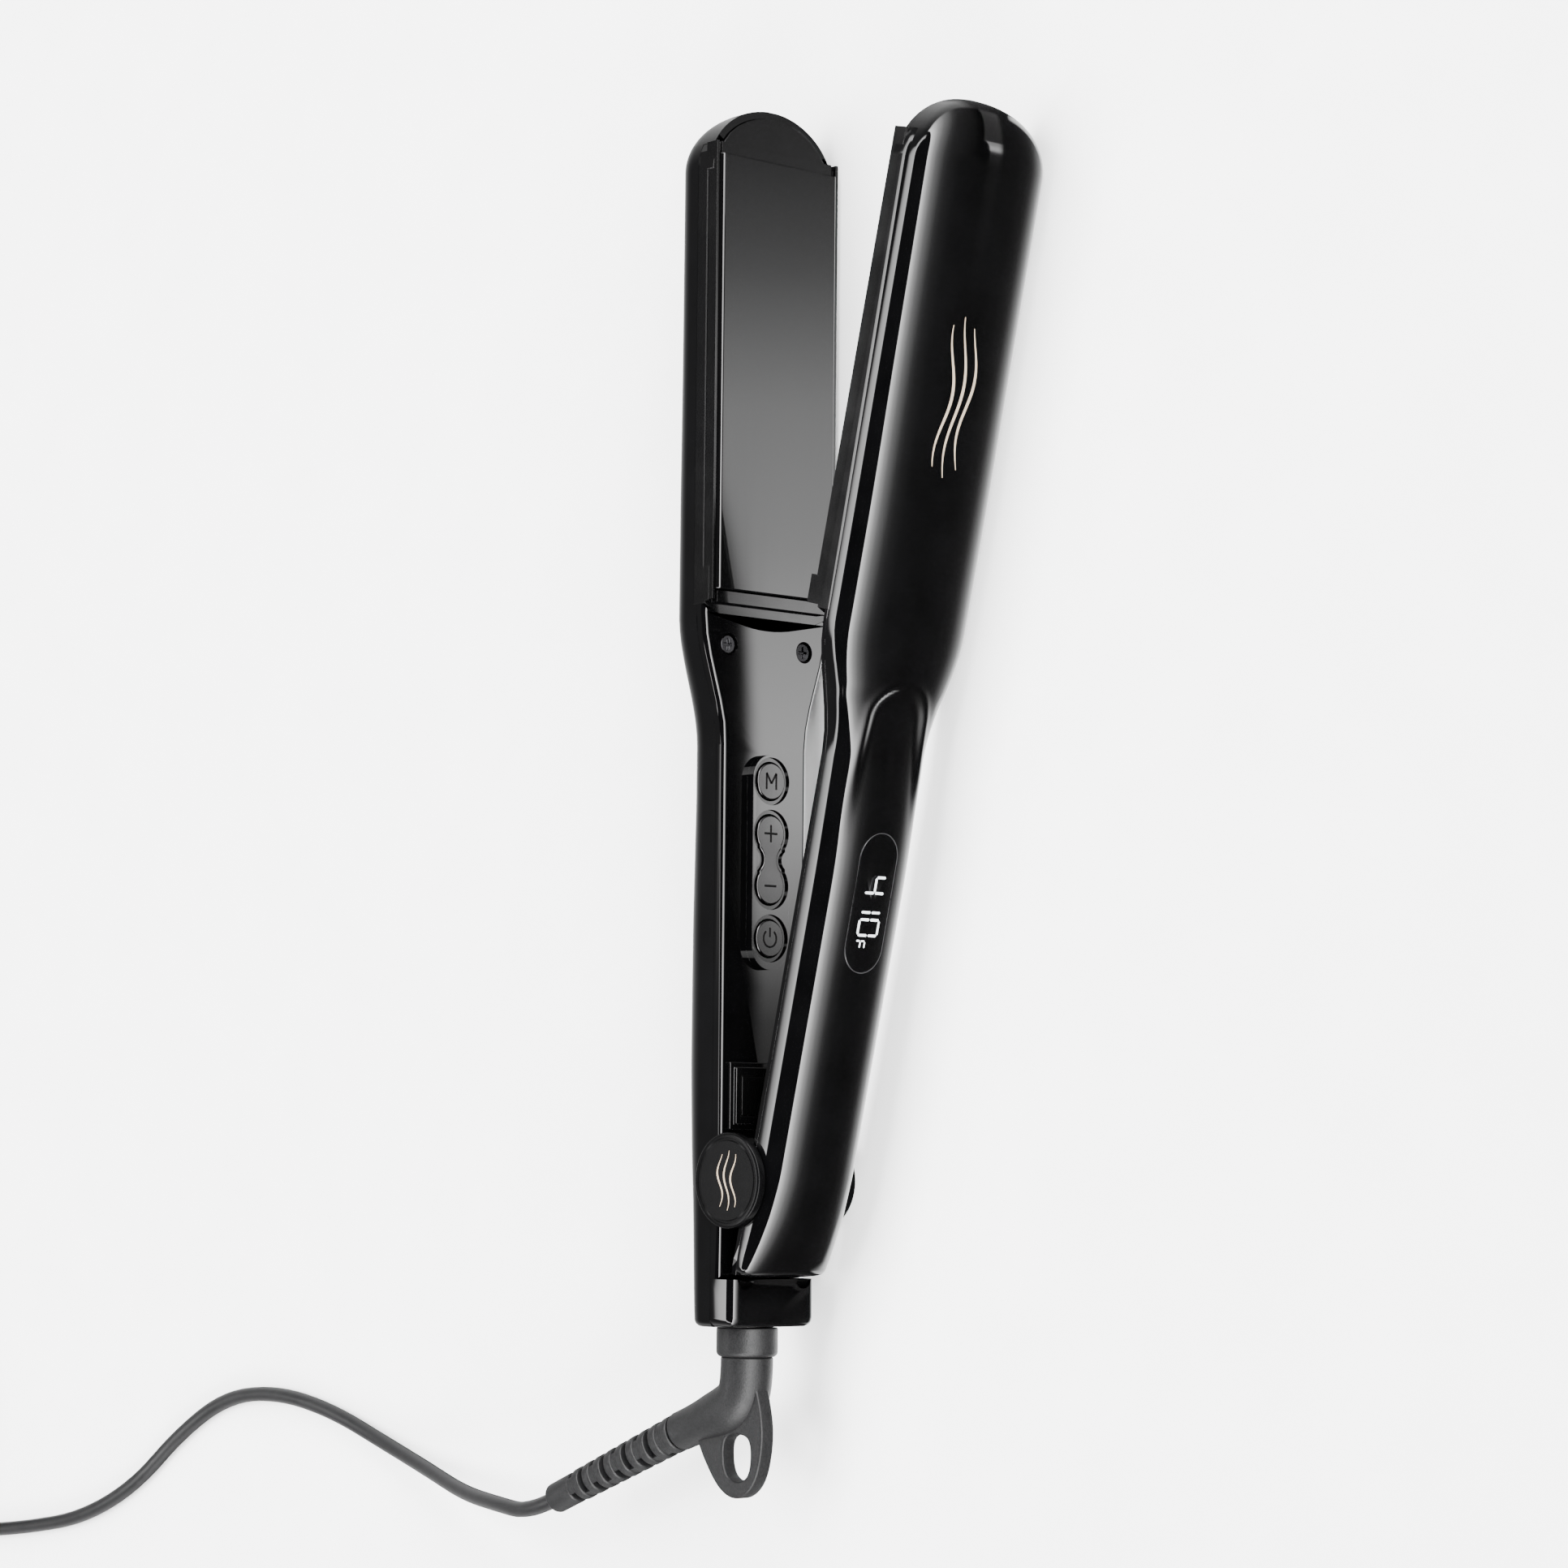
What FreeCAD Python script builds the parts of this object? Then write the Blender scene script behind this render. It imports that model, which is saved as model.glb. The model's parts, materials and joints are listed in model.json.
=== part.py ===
import FreeCAD, Part
import math
import os
from FreeCAD import Vector

# Flat iron lying on its side, as it is put down on a table. All lengths are in millimetres.
# The parts are drawn in the iron's own terms and then placed in the row frame:
#   along   distance from the hinge pin towards the plate tips       -> +X
#   depth   distance from the base plate's face, towards the moving arm -> -Y
#   across  distance from the iron's middle plane, along the pin     -> +Z
# "reach" is the distance from an arm's own plate face outwards to its back.
os.makedirs("parts", exist_ok=True)

# ---- driving dimensions --------------------------------------------------------------------
BASE_END = -33.4            # end of the base arm, where the cord comes out
BLOCK_FRONT = -22.4         # the base arm's end block starts here
ARM_END = -20.6             # end of the moving arm
GRIP_HALF = 13.0            # half width of both handles
HEAD_HALF = 19.5            # half width of both heads
NECK_START, NECK_END = 100.0, 130.0
TIP_CENTRE, TIP_LONG = 234.0, 15.8    # the tip is half an ellipse in plan
TIP_EDGE = 3.05             # reach of the tip's own rim
WALL = 1.8                  # moulded wall
OPEN_ANGLE = 13.71          # degrees between the two plates at rest
CLOSED_GAP = 0.3            # plates stop this far apart with nothing between them

BASE_REACH = [(BASE_END, 14.6), (-28, 15.1), (-8, 16.0), (10, 17.2), (30, 17.8), (55, 17.7),
              (75, 17.2), (90, 16.8), (132, 16.9), (150, 16.9), (190, 16.5), (TIP_CENTRE, 16.4)]
ARM_REACH = [(ARM_END, 11.2), (-16, 13.1), (-10, 14.9), (-4, 16.1), (5, 16.5), (70, 16.4),
             (95, 15.6), (112, 15.0), (117, 15.9), (135, 16.1), (150, 16.0), (190, 15.4),
             (TIP_CENTRE, 14.7)]
BASE_CORNERS = (6.0, 8.0)   # edge radius on the handle and on the head
ARM_CORNERS = (7.0, 9.5)

SEAM_GRIP = 6.05            # shell meets cover at this reach along the base handle
SEAM_HEAD = 7.1             # shell meets plate carrier at this reach along the heads
BASE_COVER = 3.15           # reach of the base handle's inner face
ARM_COVER = 5.7             # reach of the moving handle's inner face
ARM_SEAM = 6.9
SEAM_ARC = 41.8             # the cover ends in an arc of this radius, below the plates
SEAM_ARC_LOW = 127.2        # lowest point of that arc

PIN_DEPTH = 1.57
PIN_RADIUS = 2.5
KNUCKLE_RADIUS = 10.3       # moving arm's cheeks, under the caps
LUG_RADIUS = 4.2
CAP_RADIUS, CAP_INNER, CAP_OUTER = 10.88, 13.15, 15.2

PLATE_LOW, PLATE_HIGH = 135.35, 237.1
PLATE_HALF, PLATE_EDGE_HALF = 17.6, 18.3
PLATE_BEVEL, PLATE_THICK = 0.9, 3.2
FLOAT_TRAVEL = 0.7

BOSS_LOW, BOSS_HIGH, BOSS_HALF, BOSS_TOP = 48.4, 98.2, 5.7, 1.13
BUTTONS = {"mode": 92.06, "plus": 79.93, "minus": 67.80, "power": 55.67}
BUTTON_RADIUS, BUTTON_HOLE, GROOVE_RADIUS = 4.3, 4.6, 5.55
GROOVE_DEPTH = 0.9          # round groove that sets each button off from the boss
WAIST_HALF = 2.1            # half width of the plus/minus key between its two round ends
BUTTON_TRAVEL = 0.4
SCREW_ALONG, SCREW_ACROSS = 123.2, 11.75
REST_PAD = (11.5, 27.0, 11.0)
WINDOW_ALONG, WINDOW_LONG, WINDOW_HALF = 68.1, 31.8, 5.65

SWIVEL_DEPTH = -7.56
COLLAR_RADIUS, COLLAR_END = 7.1, -40.4
ELBOW_RADIUS, ELBOW_BEND = 6.06, 12.0
ELBOW_END = (-58.5, -30.0)  # along, depth
BOOT_END = (-76.9, -75.2)
TAB_SLOT = (-64.2, -8.65, 5.3, 4.1)   # centre along and depth, half length, half width
CORD_RADIUS = 1.95
TABLE = -HEAD_HALF          # across position of the surface the iron lies on
CORD_LOW = TABLE + CORD_RADIUS

# The lead from the boot to the coil, by hand: along, depth, across.
CORD_ROUTE = [(-76.9, -75.2, 0.0), (-81.05, -85.4, 0.0), (-80.0, -100.5, -2.4),
              (-78.7, -119.0, -6.6), (-74.4, -141.0, -12.4), (-69.2, -165.0, -16.9),
              (-62.0, -189.0, CORD_LOW),
              (-58.4, -213.0, CORD_LOW), (-60.6, -236.0, CORD_LOW), (-71.5, -257.5, CORD_LOW),
              (-87.0, -278.5, CORD_LOW), (-97.5, -304.0, CORD_LOW), (-102.0, -331.0, CORD_LOW),
              (-105.0, -359.0, CORD_LOW), (-106.0, -386.0, CORD_LOW)]
COIL_TURN = 7.8             # half of four cords side by side: half the coil's square section
COIL_MEAN = 23.0
COIL_CENTRE = (-106.0 + COIL_MEAN + COIL_TURN - CORD_RADIUS, -388.0)
COIL_FAR = COIL_CENTRE[1] - COIL_MEAN - COIL_TURN + CORD_RADIUS
CORD_TAIL = [(COIL_CENTRE[0], COIL_FAR, TABLE + 13.65), (-68.0, COIL_FAR + 0.2, TABLE + 13.0),
             (-57.0, COIL_FAR + 0.9, TABLE + 8.4), (-48.5, COIL_FAR + 1.4, TABLE + 6.5),
             (-40.0, COIL_FAR + 1.4, TABLE + 6.5)]


# ---- profiles ------------------------------------------------------------------------------
def table_value(table, along):
    """Straight-line value of a (position, value) table."""
    if along <= table[0][0]:
        return table[0][1]
    for (a0, v0), (a1, v1) in zip(table, table[1:]):
        if along <= a1:
            return v0 + (v1 - v0) * (along - a0) / (a1 - a0)
    return table[-1][1]


def tip_factor(along, inset):
    """How far the tip's ellipse has closed in, from 1 at its start to 0 at its end."""
    share = max(0.0, (along - TIP_CENTRE) / (TIP_LONG - inset))
    return math.sqrt(max(0.0, 1.0 - share * share))


def half_width(along, inset):
    share = min(1.0, max(0.0, (along - NECK_START) / (NECK_END - NECK_START)))
    width = GRIP_HALF + (HEAD_HALF - GRIP_HALF) * share * share * (3.0 - 2.0 * share)
    return (width - inset) * tip_factor(along, inset)


def outer_reach(table, along, inset):
    reach = table_value(table, along) - inset
    return TIP_EDGE + (reach - TIP_EDGE) * tip_factor(along, inset)


def row_y(side, reach):
    """Y of a given reach on the base arm (side +1) or on the closed moving arm (side -1)."""
    return reach if side > 0 else -(reach + CLOSED_GAP)


def section(side, along, half, inner, outer, radius):
    """One slice of an arm: square at its inner face, rounded at its back."""
    y_in, y_out = row_y(side, inner), row_y(side, outer)
    y_arc = y_out - side * radius
    z_arc = half - radius
    s = radius * math.sqrt(0.5)
    low_in, high_in = Vector(along, y_in, -half), Vector(along, y_in, half)
    high_side, high_back = Vector(along, y_arc, half), Vector(along, y_out, z_arc)
    low_back, low_side = Vector(along, y_out, -z_arc), Vector(along, y_arc, -half)
    high_mid = Vector(along, y_arc + side * s, z_arc + s)
    low_mid = Vector(along, y_arc + side * s, -z_arc - s)
    edges = [Part.LineSegment(low_in, high_in).toShape(), Part.LineSegment(high_in, high_side).toShape(),
             Part.Arc(high_side, high_mid, high_back).toShape(),
             Part.LineSegment(high_back, low_back).toShape(),
             Part.Arc(low_back, low_mid, low_side).toShape(), Part.LineSegment(low_side, low_in).toShape()]
    return Part.Wire(edges)


def arm_body(side, table, corners, start, inset, inner):
    """The outer form of an arm, drawn in by inset on every outside face."""
    stations = [start + inset] + [a for a, _ in table[1:-1] if a > start + inset + 1.0]
    neck = [NECK_START + (NECK_END - NECK_START) * i / 6.0 for i in range(7)]
    stations = sorted(set(stations + neck + [TIP_CENTRE]))
    tip = [0.25, 0.45, 0.62, 0.76, 0.87, 0.95, 0.99]
    stations += [TIP_CENTRE + (TIP_LONG - inset) * share for share in tip]
    wires = []
    for along in stations:
        half = half_width(along, inset)
        outer = outer_reach(table, along, inset)
        share = min(1.0, max(0.0, (along - NECK_START) / (NECK_END - NECK_START)))
        radius = corners[0] + (corners[1] - corners[0]) * share - inset
        radius = min(radius, 0.8 * half, 0.8 * (outer - inner))
        wires.append(section(side, along, half, inner, outer, radius))
    return Part.makeLoft(wires, True, True)


def block(side, along, reach, across):
    """A box from three (low, high) ranges."""
    y0, y1 = sorted((row_y(side, reach[0]), row_y(side, reach[1])))
    size = (along[1] - along[0], y1 - y0, across[1] - across[0])
    return Part.makeBox(size[0], size[1], size[2], Vector(along[0], y0, across[0]))


def post(side, radius, along, across, reach):
    """A cylinder that stands square to the plates."""
    y0, y1 = sorted((row_y(side, reach[0]), row_y(side, reach[1])))
    return Part.makeCylinder(radius, y1 - y0, Vector(along, y0, across), Vector(0, 1, 0))


def pin_disc(radius, across):
    """A cylinder on the hinge axis."""
    low = Vector(0, -PIN_DEPTH, across[0])
    return Part.makeCylinder(radius, across[1] - across[0], low, Vector(0, 0, 1))


def stadium(side, low, high, half, reach):
    """A round-ended bar seen from the plate side."""
    bar = block(side, (low + half, high - half), reach, (-half, half))
    for along in (low + half, high - half):
        bar = bar.fuse(post(side, half, along, 0, reach))
    return bar.removeSplitter()


def tube(points, radius):
    """Straight runs joined by the largest tangent arcs that the runs allow."""
    spots = [Vector(p[0], -p[1], p[2]) for p in points]
    edges, radii, here = [], [], spots[0]
    for before, corner, after in zip(spots, spots[1:], spots[2:]):
        come, leave = corner.sub(before), after.sub(corner)
        half_turn = come.getAngle(leave) / 2.0
        setback = 0.45 * min(come.Length, leave.Length)
        come.normalize()
        leave.normalize()
        start = corner.sub(come * setback)
        end = corner.add(leave * setback)
        arc_radius = setback / math.tan(half_turn)
        radii.append(arc_radius)
        inward = leave.sub(come)
        inward.normalize()
        centre = corner.add(inward * (setback / math.sin(half_turn)))
        middle = centre.sub(inward * arc_radius)
        edges.append(Part.LineSegment(here, start).toShape())
        edges.append(Part.Arc(start, middle, end).toShape())
        here = end
    edges.append(Part.LineSegment(here, spots[-1]).toShape())
    path = Part.Wire(edges)
    first = spots[1].sub(spots[0])
    ring = Part.Wire([Part.makeCircle(radius, spots[0], first)])
    shape = path.makePipeShell([ring], True, False)
    return shape, path.Length, radii


def peanut(radius, reach):
    """Two discs joined by a waist: the outline of the plus/minus key."""
    low, high = BUTTONS["minus"], BUTTONS["plus"]
    middle, grow = (low + high) / 2, radius - BUTTON_RADIUS
    ends = post(1, radius, low, 0, reach).fuse(post(1, radius, high, 0, reach))
    bar = block(1, (low, high), reach, (-radius * 0.8, radius * 0.8))
    scoop = 3.6 - grow
    for sign in (-1, 1):
        bar = bar.cut(post(1, scoop, middle, sign * (WAIST_HALF + grow + scoop), reach))
    return ends.fuse(bar).removeSplitter()


def drop_lead(name, points):
    """A cord tube, with its length, its tightest radius and a check of its volume printed."""
    shape, length, radii = tube(points, CORD_RADIUS)
    share = shape.Volume / (math.pi * CORD_RADIUS ** 2 * length)
    print(name, "length", round(length, 1), "volume share", round(share, 4))
    print("  arc radii", [round(r) for r in radii])
    return shape


# ---- base arm ------------------------------------------------------------------------------
def seam_cylinder(side, grow):
    """The arc that ends the handle cover and starts the plate carrier."""
    centre = SEAM_ARC_LOW + SEAM_ARC
    return post(side, SEAM_ARC + grow, centre, 0, (-4, 30))


def knuckle_room(radius, side_inner):
    high = pin_disc(radius, (side_inner, 20))
    low = pin_disc(radius, (-20, -side_inner))
    return high.fuse(low)


def outer_shell(side, table, corners, start, seam_grip):
    """Glossy back half of an arm: a thin tub that is open towards the plates."""
    body = arm_body(side, table, corners, start, 0.0, 0.0)
    hollow = arm_body(side, table, corners, start, WALL, -3.0)
    shell = body.cut(hollow)
    seam_end = SEAM_ARC_LOW + 4.8
    shell = shell.cut(block(side, (start - 5, seam_end), (-6, seam_grip), (-30, 30)))
    shell = shell.cut(block(side, (seam_end, 240.0), (-6, SEAM_HEAD), (-30, 30)))
    shell = shell.cut(block(side, (240.0, 260.0), (-6, TIP_EDGE), (-30, 30)))
    return shell, hollow


def plate_carrier(side, table, corners, start):
    """Satin heat-resistant frame that holds the floating plate."""
    body = arm_body(side, table, corners, start, 0.0, 0.0)
    inside = arm_body(side, table, corners, start, WALL + 0.05, 0.0)
    low = SEAM_ARC_LOW
    wall = body.common(block(side, (low, 239.9), (4.0, SEAM_HEAD - 0.05), (-30, 30)))
    low_end = body.common(block(side, (low, 140.5), (BASE_COVER, SEAM_HEAD - 0.05), (-30, 30)))
    high_end = body.common(block(side, (233.5, 239.9), (2.0, SEAM_HEAD - 0.05), (-30, 30)))
    core = inside.common(block(side, (low, 248.0), (SEAM_HEAD - 0.1, 12.5), (-30, 30)))
    tip = inside.common(block(side, (239.5, 248.0), (2.3, SEAM_HEAD), (-30, 30)))
    frame = wall.fuse([low_end, high_end, core, tip])
    for sign in (-1, 1):
        across = sorted((sign * 18.5, sign * 19.2))
        frame = frame.fuse(block(side, (133.0, 239.9), (0.9, 4.5), across))
        corner = sorted((sign * 18.5, sign * HEAD_HALF))
        frame = frame.fuse(block(side, (132.6, 140.5), (2.0, 4.5), corner))
    for along in ((132.4, 135.1), (237.35, 239.9)):
        frame = frame.fuse(block(side, along, (1.3, 5.0), (-17.4, 17.4)))
    frame = frame.cut(block(side, (135.1, 237.35), (-2, 9.0), (-18.5, 18.5)))
    return frame.common(seam_cylinder(side, 0.0).fuse(block(side, (150, 260), (-2, 30), (-30, 30))))


def heated_plate(side):
    """Coated plate with bevelled long edges and two rails that hold the heater."""
    half, edge = PLATE_HALF, PLATE_EDGE_HALF
    outline = [(0.0, -half), (0.0, half), (PLATE_BEVEL, edge), (PLATE_THICK, edge),
               (PLATE_THICK, -edge), (PLATE_BEVEL, -edge), (0.0, -half)]
    points = [Vector(PLATE_LOW, row_y(side, reach), across) for reach, across in outline]
    plate = Part.Face(Part.makePolygon(points)).extrude(Vector(PLATE_HIGH - PLATE_LOW, 0, 0))
    for sign in (-1, 1):
        across = sorted((sign * 8.2, sign * 10.0))
        rail = block(side, (PLATE_LOW + 4, PLATE_HIGH - 4), (PLATE_THICK - 0.1, 5.8), across)
        plate = plate.fuse(rail)
    return plate.removeSplitter()


def plate_set(side, prefix):
    """Everything that floats with one plate."""
    heater = block(side, (146, 228), (PLATE_THICK, 4.6), (-6.5, 6.5))
    clip = block(side, (142, 232), (4.6, 5.2), (-8.1, 8.1))
    return {prefix + "_heating_plate": heated_plate(side), prefix + "_heater": heater,
            prefix + "_heater_clip": clip}


def float_buffers(side):
    """Silicone blocks that the plate sinks onto when hair is pressed."""
    buffers = []
    for along in (150.0, 186.0, 222.0):
        buffers.append(post(side, 2.6, along, 0, (6.6, 9.0)))
    return Part.makeCompound(buffers)


def inner_cover(side, table, corners, start, face, seam, thick):
    """Inner face of a handle, with a rim that meets the shell."""
    body = arm_body(side, table, corners, start, 0.0, 0.0)
    inside = arm_body(side, table, corners, start, WALL, 0.0)
    end = SEAM_ARC_LOW + 6
    cover = body.common(block(side, (start, end), (face, seam - 0.05), (-30, 30)))
    cover = cover.cut(inside.common(block(side, (start - 1, end), (face + thick, 30), (-30, 30))))
    return cover.cut(seam_cylinder(side, 0.05))


def base_cover():
    cover = inner_cover(1, BASE_REACH, BASE_CORNERS, BASE_END, BASE_COVER, SEAM_GRIP, 1.9)
    cover = cover.cut(block(1, (-60, BLOCK_FRONT), (-10, 30), (-30, 30)))
    cover = cover.fuse(stadium(1, BOSS_LOW, BOSS_HIGH, BOSS_HALF, (BOSS_TOP, BASE_COVER + 0.5)))
    cover = cover.cut(stadium(1, BOSS_LOW + 1.6, BOSS_HIGH - 1.6, BOSS_HALF - 1.0, (3.3, 9)))
    for along in (BUTTONS["mode"], BUTTONS["power"]):
        cover = cover.cut(post(1, BUTTON_HOLE, along, 0, (0, 9)))
        cover = cover.cut(post(1, GROOVE_RADIUS, along, 0, (0, BOSS_TOP + GROOVE_DEPTH)))
    cover = cover.cut(peanut(BUTTON_HOLE, (0, 9)))
    cover = cover.cut(peanut(GROOVE_RADIUS, (0, BOSS_TOP + GROOVE_DEPTH)))
    for sign in (-1, 1):
        across = sign * SCREW_ACROSS
        cover = cover.fuse(post(1, 3.4, SCREW_ALONG, across, (3.6, 6.0)))
        cover = cover.cut(post(1, 2.55, SCREW_ALONG, across, (2, 4.7)))
        cover = cover.cut(post(1, 1.3, SCREW_ALONG, across, (4, 7)))
        slot = sorted((sign * 6.3, sign * 10.2))
        cover = cover.cut(block(1, (-LUG_RADIUS - 0.2, LUG_RADIUS + 0.2), (0, 9), slot))
    return cover.cut(knuckle_room(KNUCKLE_RADIUS + 0.35, 10.15))


def base_shell():
    shell, hollow = outer_shell(1, BASE_REACH, BASE_CORNERS, BASE_END, SEAM_GRIP)
    shell = shell.cut(block(1, (-60, BLOCK_FRONT), (-10, 30), (-30, 30)))
    for sign in (-1, 1):
        pillar = post(1, 2.4, SCREW_ALONG, sign * SCREW_ACROSS, (6.2, 25)).common(hollow)
        shell = shell.fuse(pillar)
        shell = shell.cut(post(1, 0.95, SCREW_ALONG, sign * SCREW_ACROSS, (5, 13)))
    for along in (47.0, 100.0):
        rib = block(1, (along, along + 1.5), (8.45, 25), (-20, 20)).common(hollow)
        shell = shell.fuse(rib)
    return shell.cut(knuckle_room(KNUCKLE_RADIUS + 0.35, 10.15))


def end_block():
    """Hollow block at the cord end. It stands up to close the gap behind the moving arm."""
    body = arm_body(1, BASE_REACH, BASE_CORNERS, BASE_END, 0.0, -1.6)
    body = body.common(block(1, (BASE_END, BLOCK_FRONT - 0.05), (-1.6, 30), (-30, 30)))
    room = block(1, (BASE_END + 2.4, BLOCK_FRONT + 1), (0.8, 12.0), (-10.0, 10.0))
    start = Vector(BASE_END + 2.4, -SWIVEL_DEPTH, 0)
    body = body.cut(room.fuse(Part.makeCylinder(6.3, 12, start, Vector(1, 0, 0))))
    hole = Part.makeCylinder(5.06, 8, Vector(BASE_END - 2, -SWIVEL_DEPTH, 0), Vector(1, 0, 0))
    body = body.cut(hole)
    for across in (-8.9, 8.9):
        body = body.cut(post(1, 2.5, BLOCK_FRONT + 0.2, across, (-3, 0.7)))
    return body


def button_seals():
    """Thin dust seal in the bottom of each groove."""
    low, high = BOSS_TOP + GROOVE_DEPTH - 0.3, BOSS_TOP + GROOVE_DEPTH
    seals = []
    for along in (BUTTONS["mode"], BUTTONS["power"]):
        ring = post(1, GROOVE_RADIUS - 0.05, along, 0, (low, high))
        seals.append(ring.cut(post(1, BUTTON_HOLE, along, 0, (0, 4))))
    seals.append(peanut(GROOVE_RADIUS - 0.05, (low, high)).cut(peanut(BUTTON_HOLE, (0, 4))))
    return Part.makeCompound(seals)


def push_button(along):
    cap = post(1, BUTTON_RADIUS, along, 0, (BOSS_TOP + 0.05, 4.2))
    flange = post(1, BUTTON_RADIUS + 0.6, along, 0, (4.0 + BUTTON_TRAVEL, 4.9))
    stem = post(1, 1.2, along, 0, (4.0, 5.75))
    return cap.fuse([post(1, BUTTON_RADIUS, along, 0, (4.0, 4.9)).cut(flange), stem]).removeSplitter()


def rocker():
    """Plus and minus key in one piece, which tips about its middle."""
    key = peanut(BUTTON_RADIUS - 0.05, (BOSS_TOP + 0.05, 4.6))
    stems = [post(1, 1.2, BUTTONS[name], 0, (4.5, 5.7)) for name in ("minus", "plus")]
    return key.fuse(stems).removeSplitter()


def phillips_screws(side, reach, spots):
    """Cover screws, each with a cross recess."""
    screws = []
    for along, across in spots:
        screw = post(side, 2.1, along, across, (reach, reach + 0.95))
        screw = screw.fuse(post(side, 0.9, along, across, (reach + 0.9, reach + 8.0)))
        for size in ((1.3, 0.28), (0.28, 1.3)):
            cross = block(side, (along - size[0], along + size[0]), (reach - 0.1, reach + 0.6),
                          (across - size[1], across + size[1]))
            screw = screw.cut(cross)
        screws.append(screw)
    return Part.makeCompound(screws)


def hinge_bracket():
    """Steel saddle in the base arm whose two lugs hold the pin."""
    floor = block(1, (-9, 9), (6.3, 7.8), (-9.9, 9.9))
    for sign in (-1, 1):
        across = sorted((sign * 6.5, sign * 9.9))
        lug = block(1, (-LUG_RADIUS, LUG_RADIUS), (-PIN_DEPTH, 6.5), across)
        floor = floor.fuse(lug.fuse(pin_disc(LUG_RADIUS, across)))
    return floor.cut(pin_disc(PIN_RADIUS, (-20, 20))).removeSplitter()


def hinge_washers():
    rings = []
    for across in ((9.9, 10.25), (-10.25, -9.9)):
        rings.append(pin_disc(3.9, across).cut(pin_disc(PIN_RADIUS, (-20, 20))))
    return Part.makeCompound(rings)


def hinge_cap(sign):
    """Domed cover disc over the pin's end."""
    across = sorted((sign * CAP_INNER, sign * CAP_OUTER))
    cap = pin_disc(CAP_RADIUS, across)
    rim = [e for e in cap.Edges if abs(abs(e.BoundBox.Center.z) - CAP_OUTER) < 0.01 and len(e.Vertexes) == 1]
    return cap.makeFillet(0.8, rim)


def opening_spring():
    """Coil round the pin with one leg on each arm, drawn as closed rings and two legs."""
    coil_radius, wire = 3.45, 0.5
    rings = []
    for i in range(9):
        centre = Vector(0, -PIN_DEPTH, -4.4 + 1.1 * i)
        rings.append(Part.makeTorus(coil_radius, wire, centre, Vector(0, 0, 1)))
    base_leg = Part.makeCylinder(wire, 9.5, Vector(0, -PIN_DEPTH + coil_radius, -4.4), Vector(1, 0, 0))
    turn = math.radians(OPEN_ANGLE)
    arm_way = Vector(math.cos(turn), -math.sin(turn), 0)
    arm_side = Vector(-math.sin(turn), -math.cos(turn), 0)
    start = Vector(0, -PIN_DEPTH, 4.4).add(arm_side * coil_radius)
    arm_leg = Part.makeCylinder(wire, 9.5, start, arm_way)
    rings[0] = rings[0].fuse(base_leg)
    rings[-1] = rings[-1].fuse(arm_leg)
    return Part.makeCompound(rings)


def rest_pad():
    """Two-step pad on the base handle, where the handles meet if they are squeezed hard."""
    low, high, half = REST_PAD
    pad = block(1, (low, high), (2.2, BASE_COVER), (-half, half))
    pad = pad.fuse(block(1, (low + 1.3, high - 1.3), (1.5, 2.4), (-half + 1.3, half - 1.3)))
    return pad.cut(block(1, (low + 3.3, high - 3.3), (0.5, 2.0), (-half + 3.0, half - 3.0)))


def rest_pad_insert():
    low, high, half = REST_PAD
    return block(1, (low + 3.35, high - 3.35), (1.4, 2.0), (-half + 3.05, half - 3.05))


def board_components():
    """Power parts that stand on the back of the control board."""
    parts = []
    for i in range(4):
        low = 58.0 + 9.5 * i
        parts.append(block(1, (low, low + 5.5), (8.4, 10.6 + 0.8 * (i % 2)), (-5.0, 2.5 + 0.8 * (i % 2))))
    return Part.makeCompound(parts)


def straight_wires(side, along, reach, spots, radius):
    y = row_y(side, reach)
    wires = [Part.makeCylinder(radius, along[1] - along[0], Vector(along[0], y, z), Vector(1, 0, 0))
             for z in spots]
    return Part.makeCompound(wires)


# ---- moving arm ----------------------------------------------------------------------------
def window(grow, reach):
    low = WINDOW_ALONG - WINDOW_LONG / 2 - grow
    high = WINDOW_ALONG + WINDOW_LONG / 2 + grow
    return stadium(-1, low, high, WINDOW_HALF + grow, reach)


def arm_shell():
    shell, hollow = outer_shell(-1, ARM_REACH, ARM_CORNERS, ARM_END, ARM_SEAM)
    shell = shell.cut(window(0.1, (10, 30)))
    frame = window(1.6, (12.6, 25)).cut(window(0.1, (10, 30))).common(hollow)
    shell = shell.fuse(frame)
    for sign in (-1, 1):
        pillar = post(-1, 2.4, SCREW_ALONG, sign * SCREW_ACROSS, (8.1, 25)).common(hollow)
        shell = shell.fuse(pillar)
        shell = shell.cut(post(-1, 0.95, SCREW_ALONG, sign * SCREW_ACROSS, (6, 14.2)))
    return shell.cut(knuckle_room(KNUCKLE_RADIUS + 0.05, 10.3))


def arm_cover():
    """Inner face of the moving handle with the two cheeks that turn on the pin."""
    cover = inner_cover(-1, ARM_REACH, ARM_CORNERS, ARM_END, ARM_COVER, ARM_SEAM, 1.0)
    cover = cover.cut(knuckle_room(KNUCKLE_RADIUS + 0.05, 10.3))
    for sign in (-1, 1):
        across = sorted((sign * 10.35, sign * 12.95))
        cheek = pin_disc(KNUCKLE_RADIUS, across)
        cover = cover.fuse(cheek)
        cover = cover.fuse(post(-1, 3.4, SCREW_ALONG, sign * SCREW_ACROSS, (6.2, 8.0)))
        cover = cover.cut(post(-1, 2.55, SCREW_ALONG, sign * SCREW_ACROSS, (5, 6.95)))
        cover = cover.cut(post(-1, 1.3, SCREW_ALONG, sign * SCREW_ACROSS, (6, 9)))
    return cover.cut(pin_disc(PIN_RADIUS + 0.06, (-20, 20)))


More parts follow.
